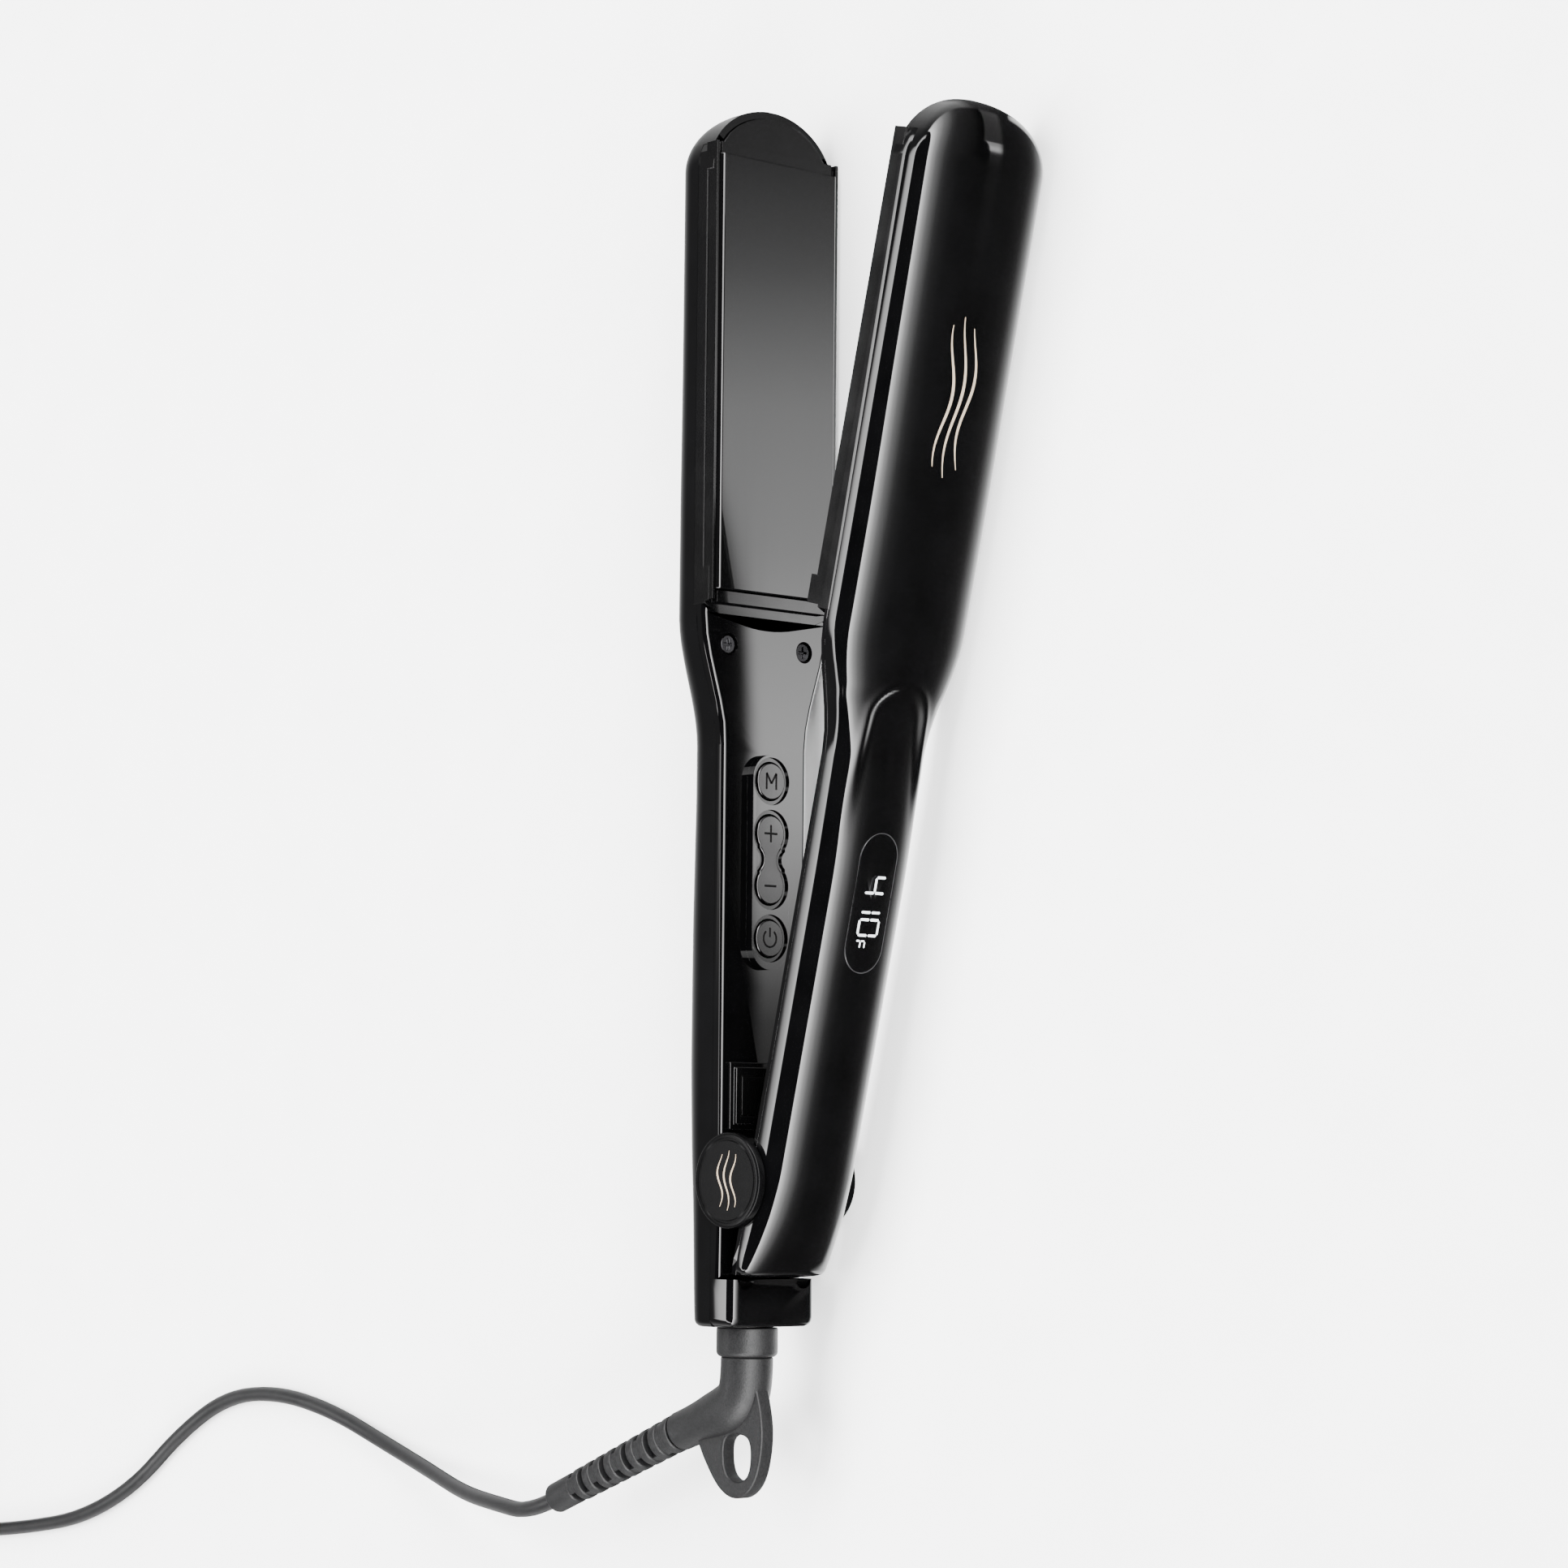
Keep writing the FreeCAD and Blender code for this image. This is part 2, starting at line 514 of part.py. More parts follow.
def arm_carrier():
    """Carrier of the moving arm, with two noses that guide the arms together."""
    frame = plate_carrier(-1, ARM_REACH, ARM_CORNERS, ARM_END)
    for sign in (-1, 1):
        across = sorted((sign * 18.55, sign * HEAD_HALF))
        frame = frame.fuse(block(-1, (132.6, 139.0), (-0.6, 3.0), across))
    return frame


def seven_segments():
    """Raised bars of three digits, read towards the hinge, with their tops towards the table."""
    lit = {4: "bcfg", 1: "bc", 0: "abcdef"}
    tall, wide, bar, pitch = 6.0, 3.8, 0.85, 4.87
    h, w = tall / 2, wide / 2
    places = {"a": (0, h, 0), "d": (0, -h, 0), "g": (0, 0, 0), "b": (w, h / 2, 1),
              "c": (w, -h / 2, 1), "e": (-w, -h / 2, 1), "f": (-w, h / 2, 1)}
    bars = []
    for index, digit in enumerate((4, 1, 0)):
        middle = WINDOW_ALONG + 4.2 - pitch * index
        for name in lit[digit]:
            right, up, upright = places[name]
            half_right = bar / 2 if upright else w - 0.45
            half_up = h / 2 - 0.45 if upright else bar / 2
            along = (middle - right - half_right, middle - right + half_right)
            across = (-up - half_up, -up + half_up)
            bars.append(block(-1, along, (14.55, 14.75), across))
    return Part.makeCompound(bars)


# ---- cord end ------------------------------------------------------------------------------
def flat_point(spot, across):
    return Vector(spot[0], -spot[1], across)


def swivel_collar():
    axis = Vector(1, 0, 0)
    y = -SWIVEL_DEPTH
    collar = Part.makeCylinder(COLLAR_RADIUS, BASE_END - 0.3 - COLLAR_END, Vector(COLLAR_END, y, 0), axis)
    stem = Part.makeCylinder(5.0, 4.6, Vector(BASE_END - 0.5, y, 0), axis)
    flange = Part.makeCylinder(5.9, 1.3, Vector(BASE_END + 2.7, y, 0), axis)
    return collar.fuse([stem, flange]).removeSplitter()


def elbow_path():
    """Centre line of the elbow: out along the handle, then round towards the lead."""
    start = flat_point((COLLAR_END, SWIVEL_DEPTH), 0)
    end = flat_point(ELBOW_END, 0)
    away = flat_point(BOOT_END, 0).sub(end)
    away.normalize()
    back = (end.y - start.y) / away.y
    corner = end.sub(away * back)
    half_turn = Vector(-1, 0, 0).getAngle(away) / 2
    setback = ELBOW_BEND * math.tan(half_turn)
    first = Vector(corner.x + setback, start.y, 0)
    last = corner.add(away * setback)
    inward = away.sub(Vector(-1, 0, 0))
    inward.normalize()
    centre = corner.add(inward * (ELBOW_BEND / math.cos(half_turn)))
    middle = centre.sub(inward * ELBOW_BEND)
    return start, first, middle, last, end, away


def swivel_elbow():
    """Rubber elbow with a flat hanging tab in its inside corner."""
    start, first, middle, last, end, away = elbow_path()
    edges = [Part.LineSegment(start, first).toShape(), Part.Arc(first, middle, last).toShape()]
    ring = Part.Wire([Part.makeCircle(ELBOW_RADIUS, start, Vector(-1, 0, 0))])
    bend = Part.Wire(edges).makePipeShell([ring], True, False)
    straight = Part.makeCone(ELBOW_RADIUS, 4.6, end.sub(last).Length, last, away)
    outline = [(-43.0, -1.6), (-51.7, 0.2), (-58.0, -0.4), (-66.0, -1.6), (-70.3, -4.3), (-72.4, -9.1),
               (-72.0, -13.2), (-69.6, -16.6), (-60.8, -22.0), (-52.0, -20.0)]
    points = [flat_point(p, -2.0) for p in outline + outline[:1]]
    tab = Part.Face(Part.makePolygon(points)).extrude(Vector(0, 0, 4.0))
    turns = [math.radians(22.5 * i) for i in range(16)]
    slot = [(TAB_SLOT[0] + TAB_SLOT[2] * math.cos(t), TAB_SLOT[1] + TAB_SLOT[3] * math.sin(t)) for t in turns]
    points = [flat_point(p, -5.0) for p in slot + slot[:1]]
    hole = Part.Face(Part.makePolygon(points)).extrude(Vector(0, 0, 10.0))
    return bend.fuse([straight, tab]).cut(hole)


def cord_boot():
    """Ribbed strain relief: a soft core with rings that get smaller, and a plain end ring."""
    start, end = flat_point(ELBOW_END, 0), flat_point(BOOT_END, 0)
    way = end.sub(start)
    length = way.Length
    way.normalize()
    boot = Part.makeCone(3.0, 2.7, length, start, way)
    pitch, ring_long, rings = 4.35, 2.6, 9
    for i in range(rings):
        place = 0.9 + pitch * i
        radius = 4.4 - 0.75 * place / length
        ring = Part.makeCylinder(radius, ring_long, start.add(way * place), way)
        boot = boot.fuse(ring)
    last = 0.9 + pitch * rings
    boot = boot.fuse(Part.makeCylinder(3.65, length - last, start.add(way * last), way))
    web = Part.makeBox(length, 1.6, 6.4, Vector(0, -0.8, -3.2))
    web.Placement = FreeCAD.Placement(start, FreeCAD.Rotation(Vector(1, 0, 0), way))
    return boot.fuse(web).removeSplitter()


def cord_coil():
    inner, outer = COIL_MEAN - COIL_TURN, COIL_MEAN + COIL_TURN
    centre = Vector(COIL_CENTRE[0], -COIL_CENTRE[1], TABLE)
    ring = Part.makeCylinder(outer, 2 * COIL_TURN, centre)
    return ring.cut(Part.makeCylinder(inner, 2 * COIL_TURN, centre))


def coil_tie():
    """Strap round the bundle of turns."""
    thick, wide = 0.8, 6.0
    x = COIL_CENTRE[0] + COIL_MEAN
    y = -COIL_CENTRE[1] - wide / 2
    out = COIL_TURN + thick
    tie = Part.makeBox(2 * out, wide, 2 * COIL_TURN + thick, Vector(x - out, y, TABLE))
    room = Part.makeBox(2 * COIL_TURN, wide, 2 * COIL_TURN - thick, Vector(x - COIL_TURN, y, TABLE + thick))
    return tie.cut(room)


def plug():
    """Two-blade mains plug lying flat beside the coil."""
    start = Vector(CORD_TAIL[-1][0], -CORD_TAIL[-1][1], CORD_TAIL[-1][2])
    relief = Part.makeCone(2.5, 4.0, 20.0, start, Vector(1, 0, 0))
    face = start.x + 20.0
    body = Part.makeBox(26.0, 22.0, 13.0, Vector(face, start.y - 11.0, start.z - 6.5))
    edges = [e for e in body.Edges if e.Length > 25.0]
    body = body.makeFillet(3.0, edges)
    blades = []
    for offset in (-6.35, 6.35):
        blade = Part.makeBox(17.5, 1.5, 6.4, Vector(face + 26.0, start.y + offset - 0.75, start.z - 3.2))
        hole = Part.makeCylinder(1.5, 6, Vector(face + 39.5, start.y + offset - 3, start.z), Vector(0, 1, 0))
        blades.append(blade.cut(hole))
    return relief, body, Part.makeCompound(blades)


# ---- the assembly --------------------------------------------------------------------------
screw_spots = [(SCREW_ALONG, -SCREW_ACROSS), (SCREW_ALONG, SCREW_ACROSS)]
switch_boxes = [block(1, (a - 1.8, a + 1.8), (6.2, 7.15), (-1.8, 1.8)) for a in BUTTONS.values()]
plug_relief, plug_body, plug_blades = plug()

still = {
    "base_outer_shell": base_shell(),
    "base_inner_cover": base_cover(),
    "base_end_block": end_block(),
    "base_plate_carrier": plate_carrier(1, BASE_REACH, BASE_CORNERS, BASE_END),
    "base_float_buffers": float_buffers(1),
    "base_cover_screws": phillips_screws(1, 3.69, screw_spots),
    "button_seals": button_seals(),
    "hinge_bracket": hinge_bracket(),
    "hinge_pin": pin_disc(PIN_RADIUS, (-CAP_INNER, CAP_INNER)),
    "hinge_washers": hinge_washers(),
    "hinge_cap_upper": hinge_cap(1),
    "hinge_cap_lower": hinge_cap(-1),
    "opening_spring": opening_spring(),
    "rest_pad": rest_pad(),
    "rest_pad_insert": rest_pad_insert(),
    "control_board": block(1, (46, 103), (7.15, 8.4), (-9.0, 9.0)),
    "board_components": board_components(),
    "tact_switches": Part.makeCompound(switch_boxes),
    "mains_terminal_block": block(1, (14, 26), (8.6, 13.0), (-6.0, 6.0)),
    "mains_leads": straight_wires(1, (BASE_END + 4.2, 13.9), 10.6, (-2.0, 2.0), 0.8),
    "board_leads": straight_wires(1, (26.1, 45.9), 9.4, (-2.0, 2.0), 0.8),
    "heater_leads": straight_wires(1, (103.1, 126.0), 10.4, (-2.0, 2.0), 0.8),
    "cord_run": drop_lead("cord_run", CORD_ROUTE),
    "cord_coil": cord_coil(),
    "cord_tail": drop_lead("cord_tail", CORD_TAIL),
    "coil_tie": coil_tie(),
    "plug_strain_relief": plug_relief,
    "plug_body": plug_body,
    "plug_blades": plug_blades,
    "mode_button": push_button(BUTTONS["mode"]),
    "power_button": push_button(BUTTONS["power"]),
    "temperature_rocker": rocker(),
    "swivel_collar": swivel_collar(),
    "swivel_elbow": swivel_elbow(),
    "cord_boot": cord_boot(),
}
still.update(plate_set(1, "base"))

opened = {
    "arm_outer_shell": arm_shell(),
    "arm_inner_cover": arm_cover(),
    "arm_plate_carrier": arm_carrier(),
    "arm_float_buffers": float_buffers(-1),
    "arm_cover_screws": phillips_screws(-1, 5.95, screw_spots),
    "display_lens": window(0.0, (15.0, outer_reach(ARM_REACH, WINDOW_ALONG, 0.0))),
    "display_digits": seven_segments(),
    "display_module": block(-1, (56.7, 79.5), (11.6, 14.55), (-5.2, 5.2)),
    "display_board": block(-1, (44.0, 96.0), (10.4, 11.6), (-8.5, 8.5)),
    "arm_leads": straight_wires(-1, (18.0, 43.9), 11.0, (-2.0, 2.0), 0.8),
    "arm_heater_leads": straight_wires(-1, (96.1, 126.0), 10.8, (-2.0, 2.0), 0.8),
}
opened.update(plate_set(-1, "arm"))
pin_foot = Vector(0, -PIN_DEPTH, 0)
for shape in opened.values():
    shape.rotate(pin_foot, Vector(0, 0, 1), -OPEN_ANGLE)

nodes = dict(still)
nodes.update(opened)

# The row's origin is the bottom centre of the iron without its lead.
LEAD_NODES = ("cord_run", "cord_coil", "cord_tail", "coil_tie", "plug_strain_relief", "plug_body",
              "plug_blades")
iron = Part.makeCompound([s for name, s in nodes.items() if name not in LEAD_NODES])
box = iron.optimalBoundingBox(False, False)
shift = Vector(-(box.XMin + box.XMax) / 2, -(box.YMin + box.YMax) / 2, -box.ZMin)
print("pin at", [round(v, 4) for v in pin_foot.add(shift)], "iron box",
      [round(v, 2) for v in (box.XLength, box.YLength, box.ZLength)])

for name, shape in nodes.items():
    shape.translate(shift)
    if not shape.isValid() or len(shape.Solids) == 0:
        print("BAD", name, shape.ShapeType, shape.isValid(), len(shape.Solids))
    shape.exportStep("parts/" + name + ".step")
print(len(nodes), "nodes")
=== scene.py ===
"""Looks of the flat iron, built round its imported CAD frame. Metres; MM turns millimetres into metres.

The iron's own terms are the ones its CAD uses: along (from the hinge pin to the tips, +X), depth (from the
base plate's face towards the moving arm, -Y) and across (+Z). Reach is the distance outwards from an arm's
own plate face.
"""
import json
import math

import bmesh
import bpy
from mathutils import Matrix, Vector


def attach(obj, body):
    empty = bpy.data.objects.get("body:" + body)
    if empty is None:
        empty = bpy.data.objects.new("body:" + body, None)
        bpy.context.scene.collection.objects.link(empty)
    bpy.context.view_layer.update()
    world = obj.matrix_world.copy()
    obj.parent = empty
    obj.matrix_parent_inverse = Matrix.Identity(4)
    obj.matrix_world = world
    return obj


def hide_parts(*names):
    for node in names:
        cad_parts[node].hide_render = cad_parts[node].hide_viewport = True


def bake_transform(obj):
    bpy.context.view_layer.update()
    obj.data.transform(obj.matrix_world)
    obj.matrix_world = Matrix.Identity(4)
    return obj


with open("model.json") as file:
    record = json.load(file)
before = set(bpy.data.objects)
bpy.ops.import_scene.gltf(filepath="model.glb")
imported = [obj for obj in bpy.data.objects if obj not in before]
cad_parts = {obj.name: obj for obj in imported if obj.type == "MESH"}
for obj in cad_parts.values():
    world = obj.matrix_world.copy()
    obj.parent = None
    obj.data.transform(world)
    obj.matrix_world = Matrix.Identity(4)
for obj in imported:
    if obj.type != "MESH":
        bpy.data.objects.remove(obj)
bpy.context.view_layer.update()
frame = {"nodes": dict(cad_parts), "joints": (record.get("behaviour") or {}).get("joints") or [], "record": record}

# ---- driving dimensions, in millimetres ------------------------------------------------------
MM = 0.001
joints = {joint["name"]: joint for joint in frame["joints"]}
PIN = Vector(joints["arm_hinge"]["pos_m"])
OPEN_ANGLE = math.radians(joints["arm_hinge"]["range_deg"][1])
PIN_DEPTH = 1.57
ORIGIN = PIN + Vector((0, PIN_DEPTH * MM, 0))
CLOSED_GAP = 0.3
BASE_END, ARM_END = -33.4, -20.6
GRIP_HALF, HEAD_HALF = 13.0, 19.5
NECK_START, NECK_END = 100.0, 130.0
TIP_CENTRE, TIP_EDGE = 234.0, 3.05
TIP_LONG = {1: 15.8, -1: 14.9}
TIP_POWER = {1: 2.0, -1: 2.5}      # how square each arm's tip is, seen from the side
WALL = 1.7
BASE_REACH = [(BASE_END, 14.6), (-28, 15.1), (-8, 16.0), (10, 17.2), (30, 17.8), (55, 17.7),
              (75, 17.2), (90, 16.8), (132, 16.9), (150, 16.9), (190, 16.5), (TIP_CENTRE, 16.4)]
ARM_REACH = [(ARM_END, 11.2), (-16, 13.1), (-10, 14.9), (-4, 16.1), (5, 16.9), (70, 16.9),
             (95, 15.9), (112, 15.0), (117, 15.6), (135, 16.0), (150, 16.0), (190, 15.4),
             (TIP_CENTRE, 14.7)]
SEAM_GRIP, SEAM_HEAD, ARM_SEAM = 6.05, 7.1, 6.9
HEAD_SEAM_START, TIP_SEAM_START = 132.0, 240.0     # where the seam's reach steps
BASE_COVER = 3.15
BLOCK_FRONT = -22.4
KNUCKLE_RADIUS, CAP_RADIUS, CAP_INNER, CAP_OUTER = 10.3, 10.88, 13.15, 15.2
BOSS_TOP = 1.13                    # reach of the raised button strip's face
BUTTONS = {"mode": 92.06, "plus": 79.93, "minus": 67.80, "power": 55.67}
WINDOW_ALONG, WINDOW_LONG, WINDOW_HALF = 68.1, 31.8, 5.65
WINDOW_GAP = 0.22
SWIVEL_DEPTH, SWIVEL_BORE = -7.56, 5.06
ELBOW_END, BOOT_END = (-58.5, -30.0), (-76.9, -75.2)
CORD_RADIUS = 1.95
TABLE = -HEAD_HALF
CORD_LOW = TABLE + CORD_RADIUS

OPENED = (Matrix.Translation(PIN) @ Matrix.Rotation(-OPEN_ANGLE, 4, "Z")
          @ Matrix.Translation(-PIN))
CAMERA_PLACE = (5.2, 735.4, 675.7)          # a row point
CAMERA_FORWARD = (0.086, 0.7322, -0.6756)
CAMERA_UP = (0.9962, -0.0566, 0.0655)       # the tips point up in the picture
CAMERA_LENS, CAMERA_SENSOR = 99.49, 36.0
LAMP_OFFSET, LAMP_SIZE, LAMP_POWER = (0.1, 0.25, 1.6), (1.6, 1.1), 115      # metres and watts
FLOOR_SIZE, FLOOR_SQUARES = 8, 8            # metres, and squares along a side


def row(along, depth, across):
    """A point in the iron's terms, placed in the row frame."""
    return ORIGIN + Vector((along, -depth, across)) * MM


def arm_spot(side, along, reach, across):
    """A point on the base arm (side +1) or on the moving arm as it rests, open (side -1)."""
    if side > 0:
        return row(along, -reach, across)
    return OPENED @ row(along, reach + CLOSED_GAP, across)


def linked(name, data):
    """A new object in the scene that holds the data."""
    made = bpy.data.objects.new(name, data)
    bpy.context.scene.collection.objects.link(made)
    return made


# ---- camera, world, lamp and floor -----------------------------------------------------------
def make_camera():
    forward = Vector(CAMERA_FORWARD).normalized()
    right = forward.cross(Vector(CAMERA_UP)).normalized()
    up = right.cross(forward)
    data = bpy.data.cameras.new("camera")
    data.lens, data.sensor_width = CAMERA_LENS, CAMERA_SENSOR
    data.clip_start, data.clip_end = 0.05, 20.0
    camera = linked("camera", data)
    turn = Matrix((right, up, -forward)).transposed().to_4x4()
    camera.matrix_world = Matrix.Translation(row(*CAMERA_PLACE)) @ turn
    bpy.context.scene.camera = camera


WORLD_TOP = 32.0            # the world's strength; the bands below are levels up to it
ARMS_MEET = (-0.14, -0.02)  # X of a direction where the arm's bands give way to the base's
BACK_STARTS = (-0.1, 0.1)   # Y of a direction where the front gives way to the back
CARD_FOOT = (-0.715, -0.695)    # Z of a direction where the soft card fades in from below
CARD_SOFT = 0.0018          # half the blur of the card's sloping upper edge


def ramp_node(nodes, stops):
    node = nodes.new("ShaderNodeValToRGB")
    ramp = node.color_ramp
    while len(ramp.elements) < len(stops):
        ramp.elements.new(0.5)
    for element, (spot, value) in zip(ramp.elements, stops):
        element.position = spot
        colour = value if isinstance(value, tuple) else (value, value, value)
        element.color = (*colour, 1.0)
    return node


def make_world():
    """A pale studio round the table, with the dark gaps and bright cards that gloss black mirrors."""
    world = bpy.data.worlds.new("studio")
    bpy.context.scene.world = world
    world.use_nodes = True
    nodes, links = world.node_tree.nodes, world.node_tree.links
    nodes.clear()
    coords = nodes.new("ShaderNodeTexCoord")
    split = nodes.new("ShaderNodeSeparateXYZ")
    links.new(coords.outputs["Generated"], split.inputs[0])

    def to_share(axis):
        """A direction's part along one axis, from -1..1 to 0..1."""
        share = nodes.new("ShaderNodeMapRange")
        share.inputs["From Min"].default_value = -1.0
        links.new(split.outputs[axis], share.inputs["Value"])
        return share.outputs[0]

    def bands(stops, axis_share, scale=WORLD_TOP):
        """Levels along an axis, from (position, level) pairs."""
        node = ramp_node(nodes, [((spot + 1) / 2, level / scale) for spot, level in stops])
        links.new(axis_share, node.inputs[0])
        return node.outputs[0]

    def smooth_share(value, low, high):
        """0 at low and 1 at high, with a smooth step between."""
        share = nodes.new("ShaderNodeMapRange")
        share.inputs["From Min"].default_value, share.inputs["From Max"].default_value = low, high
        share.interpolation_type = "SMOOTHSTEP"
        links.new(value, share.inputs["Value"])
        return share.outputs[0]

    def blend(share, one, two):
        mix = nodes.new("ShaderNodeMix")
        mix.data_type = "RGBA"
        links.new(share, mix.inputs[0])
        links.new(one, mix.inputs[6])
        links.new(two, mix.inputs[7])
        return mix.outputs[2]

    def maths(operation, one, two):
        node = nodes.new("ShaderNodeMath")
        node.operation = operation
        links.new(one, node.inputs[0])
        links.new(two, node.inputs[1])
        return node.outputs[0]

    height, side = to_share("Z"), to_share("X")
    below = [(-1.0, 4.4), (-0.985, 3.0), (-0.965, 2.1), (-0.92, 0.9), (-0.89, 0.4), (-0.85, 0.2),
             (-0.78, 0.1)]
    above = [(-0.12, 2.4), (0.02, 4.0), (0.25, 9.0), (0.45, 18.0), (0.60, 25.0), (0.615, 0.02),
             (0.9, 0.02)]
    arm_side = bands(below + [(-0.68, 0.06), (-0.5, 0.12), (-0.35, 0.4), (-0.25, 0.9)] + above, height)
    base_side = bands(below + [(-0.70, 0.1), (-0.69, 0.0), (-0.62, 0.0), (-0.58, 0.1), (-0.35, 0.4),
                               (-0.25, 0.9)] + above, height)
    # A soft card low in front: its brightness changes along X, and its upper edge slopes.
    level = bands([(0.0, 0.3), (0.03, 0.8), (0.043, 1.9), (0.06, 5.0), (0.08, 7.5), (0.095, 8.0),
                   (0.121, 6.4), (0.138, 5.0), (0.171, 3.9), (0.19, 2.4), (0.205, 1.3), (0.23, 0.5)], side)
    edge = bands([(0.04, 0.6735), (0.055, 0.6715), (0.097, 0.6695), (0.122, 0.6667), (0.138, 0.663),
                  (0.171, 0.653), (0.20, 0.640)], side, 1.0)
    over = smooth_share(maths("ADD", split.outputs["Z"], edge), CARD_SOFT, -CARD_SOFT)
    under = smooth_share(split.outputs["Z"], *CARD_FOOT)
    card = maths("MULTIPLY", level, maths("MULTIPLY", over, under))
    front = blend(smooth_share(split.outputs["X"], *ARMS_MEET), arm_side, maths("ADD", base_side, card))
    back = bands([(-1.0, 4.8), (-0.96, 5.5), (-0.84, 4.0), (-0.77, 3.5), (-0.75, 0.05), (-0.62, 0.2),
                  (-0.5, 1.1), (-0.3, 1.2), (0.0, 1.1), (0.2, 0.8), (0.4, 0.4), (0.55, 0.2), (0.679, 0.2),
                  (0.688, 0.8), (0.70, 5.0), (0.72, 9.0), (0.775, 12.0), (0.787, 0.02)], height)
    whole = blend(smooth_share(split.outputs["Y"], *BACK_STARTS), front, back)
    shade = nodes.new("ShaderNodeBackground")
    shade.inputs["Strength"].default_value = WORLD_TOP
    links.new(whole, shade.inputs["Color"])
    out = nodes.new("ShaderNodeOutputWorld")
    links.new(shade.outputs[0], out.inputs[0])


def make_lights():
    """One soft lamp overhead, which glossy surfaces don't mirror."""
    middle = row(90, 0, 0)
    place = middle + Vector(LAMP_OFFSET)
    data = bpy.data.lights.new("overhead_soft", "AREA")
    data.shape = "RECTANGLE"
    data.size, data.size_y = LAMP_SIZE
    data.energy = LAMP_POWER
    lamp = linked("overhead_soft", data)
    lamp.location = place
    lamp.rotation_euler = (middle - place).to_track_quat("-Z", "Y").to_euler()
    lamp.visible_glossy = False


def make_floor():
    bpy.ops.mesh.primitive_grid_add(x_subdivisions=FLOOR_SQUARES, y_subdivisions=FLOOR_SQUARES,
                                    size=FLOOR_SIZE, location=(0, 0, 0))
    floor = bpy.context.object
    floor.name = "floor"
    card = plain_material("floor_card", (0.93, 0.93, 0.93), 0.75, speck=0.02, scale=40)
    floor.data.materials.append(card)
    floor.visible_glossy = False


# ---- materials -------------------------------------------------------------------------------
NOISE_SPAN = (0.3, 0.7)     # where the values of a noise mostly lie


def plain_material(name, colour, rough, metal=0.0, coat=0.0, speck=0.15, scale=600.0, grain=0.0,
                   grain_scale=2500.0, rough_swing=0.04, stretch=(1, 1, 1), shine=0.5):
    """Moulded plastic, rubber or metal: mottled colour, uneven gloss and a fine grain."""
    made = bpy.data.materials.new(name)
    made.use_nodes = True
    nodes, links = made.node_tree.nodes, made.node_tree.links
    shader = nodes["Principled BSDF"]
    shader.inputs["Metallic"].default_value = metal
    shader.inputs["Coat Weight"].default_value = coat
    shader.inputs["Coat Roughness"].default_value = 0.02
    shader.inputs["Specular IOR Level"].default_value = shine
    coords = nodes.new("ShaderNodeTexCoord")
    place = nodes.new("ShaderNodeMapping")
    place.inputs["Scale"].default_value = stretch
    links.new(coords.outputs["Object"], place.inputs[0])
    mottle = nodes.new("ShaderNodeTexNoise")
    mottle.inputs["Scale"].default_value = scale
    mottle.inputs["Detail"].default_value = 4.0
    links.new(place.outputs[0], mottle.inputs["Vector"])
    low = tuple(c * (1 - speck) for c in colour)
    high = tuple(min(1.0, c * (1 + speck)) for c in colour)
    tint = ramp_node(nodes, list(zip(NOISE_SPAN, (low, high))))
    links.new(mottle.outputs["Fac"], tint.inputs[0])
    links.new(tint.outputs[0], shader.inputs["Base Color"])
    cloud = nodes.new("ShaderNodeTexNoise")
    cloud.inputs["Scale"].default_value = scale / 7.0
    cloud.inputs["Detail"].default_value = 3.0
    links.new(place.outputs[0], cloud.inputs["Vector"])
    gloss = nodes.new("ShaderNodeMapRange")
    gloss.inputs["From Min"].default_value, gloss.inputs["From Max"].default_value = NOISE_SPAN
    gloss.inputs["To Min"].default_value = max(0.0, rough - rough_swing)
    gloss.inputs["To Max"].default_value = rough + rough_swing
    links.new(cloud.outputs["Fac"], gloss.inputs["Value"])
    links.new(gloss.outputs[0], shader.inputs["Roughness"])
    if grain:
        fine = nodes.new("ShaderNodeTexNoise")
        fine.inputs["Scale"].default_value = grain_scale
        fine.inputs["Detail"].default_value = 3.0
        links.new(place.outputs[0], fine.inputs["Vector"])
        bump = nodes.new("ShaderNodeBump")
        bump.inputs["Strength"].default_value = grain
        bump.inputs["Distance"].default_value = 0.00006
        links.new(fine.outputs["Fac"], bump.inputs["Height"])
        links.new(bump.outputs[0], shader.inputs["Normal"])
    return made


def light_material(name, colour, strength):
    """Lit digits: bright, a little uneven from one end to the other."""
    made = plain_material(name, colour, 0.4, speck=0.04, scale=900)
    nodes, links = made.node_tree.nodes, made.node_tree.links
    shader = nodes["Principled BSDF"]
    tint = shader.inputs["Base Color"].links[0].from_socket
    links.new(tint, shader.inputs["Emission Color"])
    shader.inputs["Emission Strength"].default_value = strength
    return made


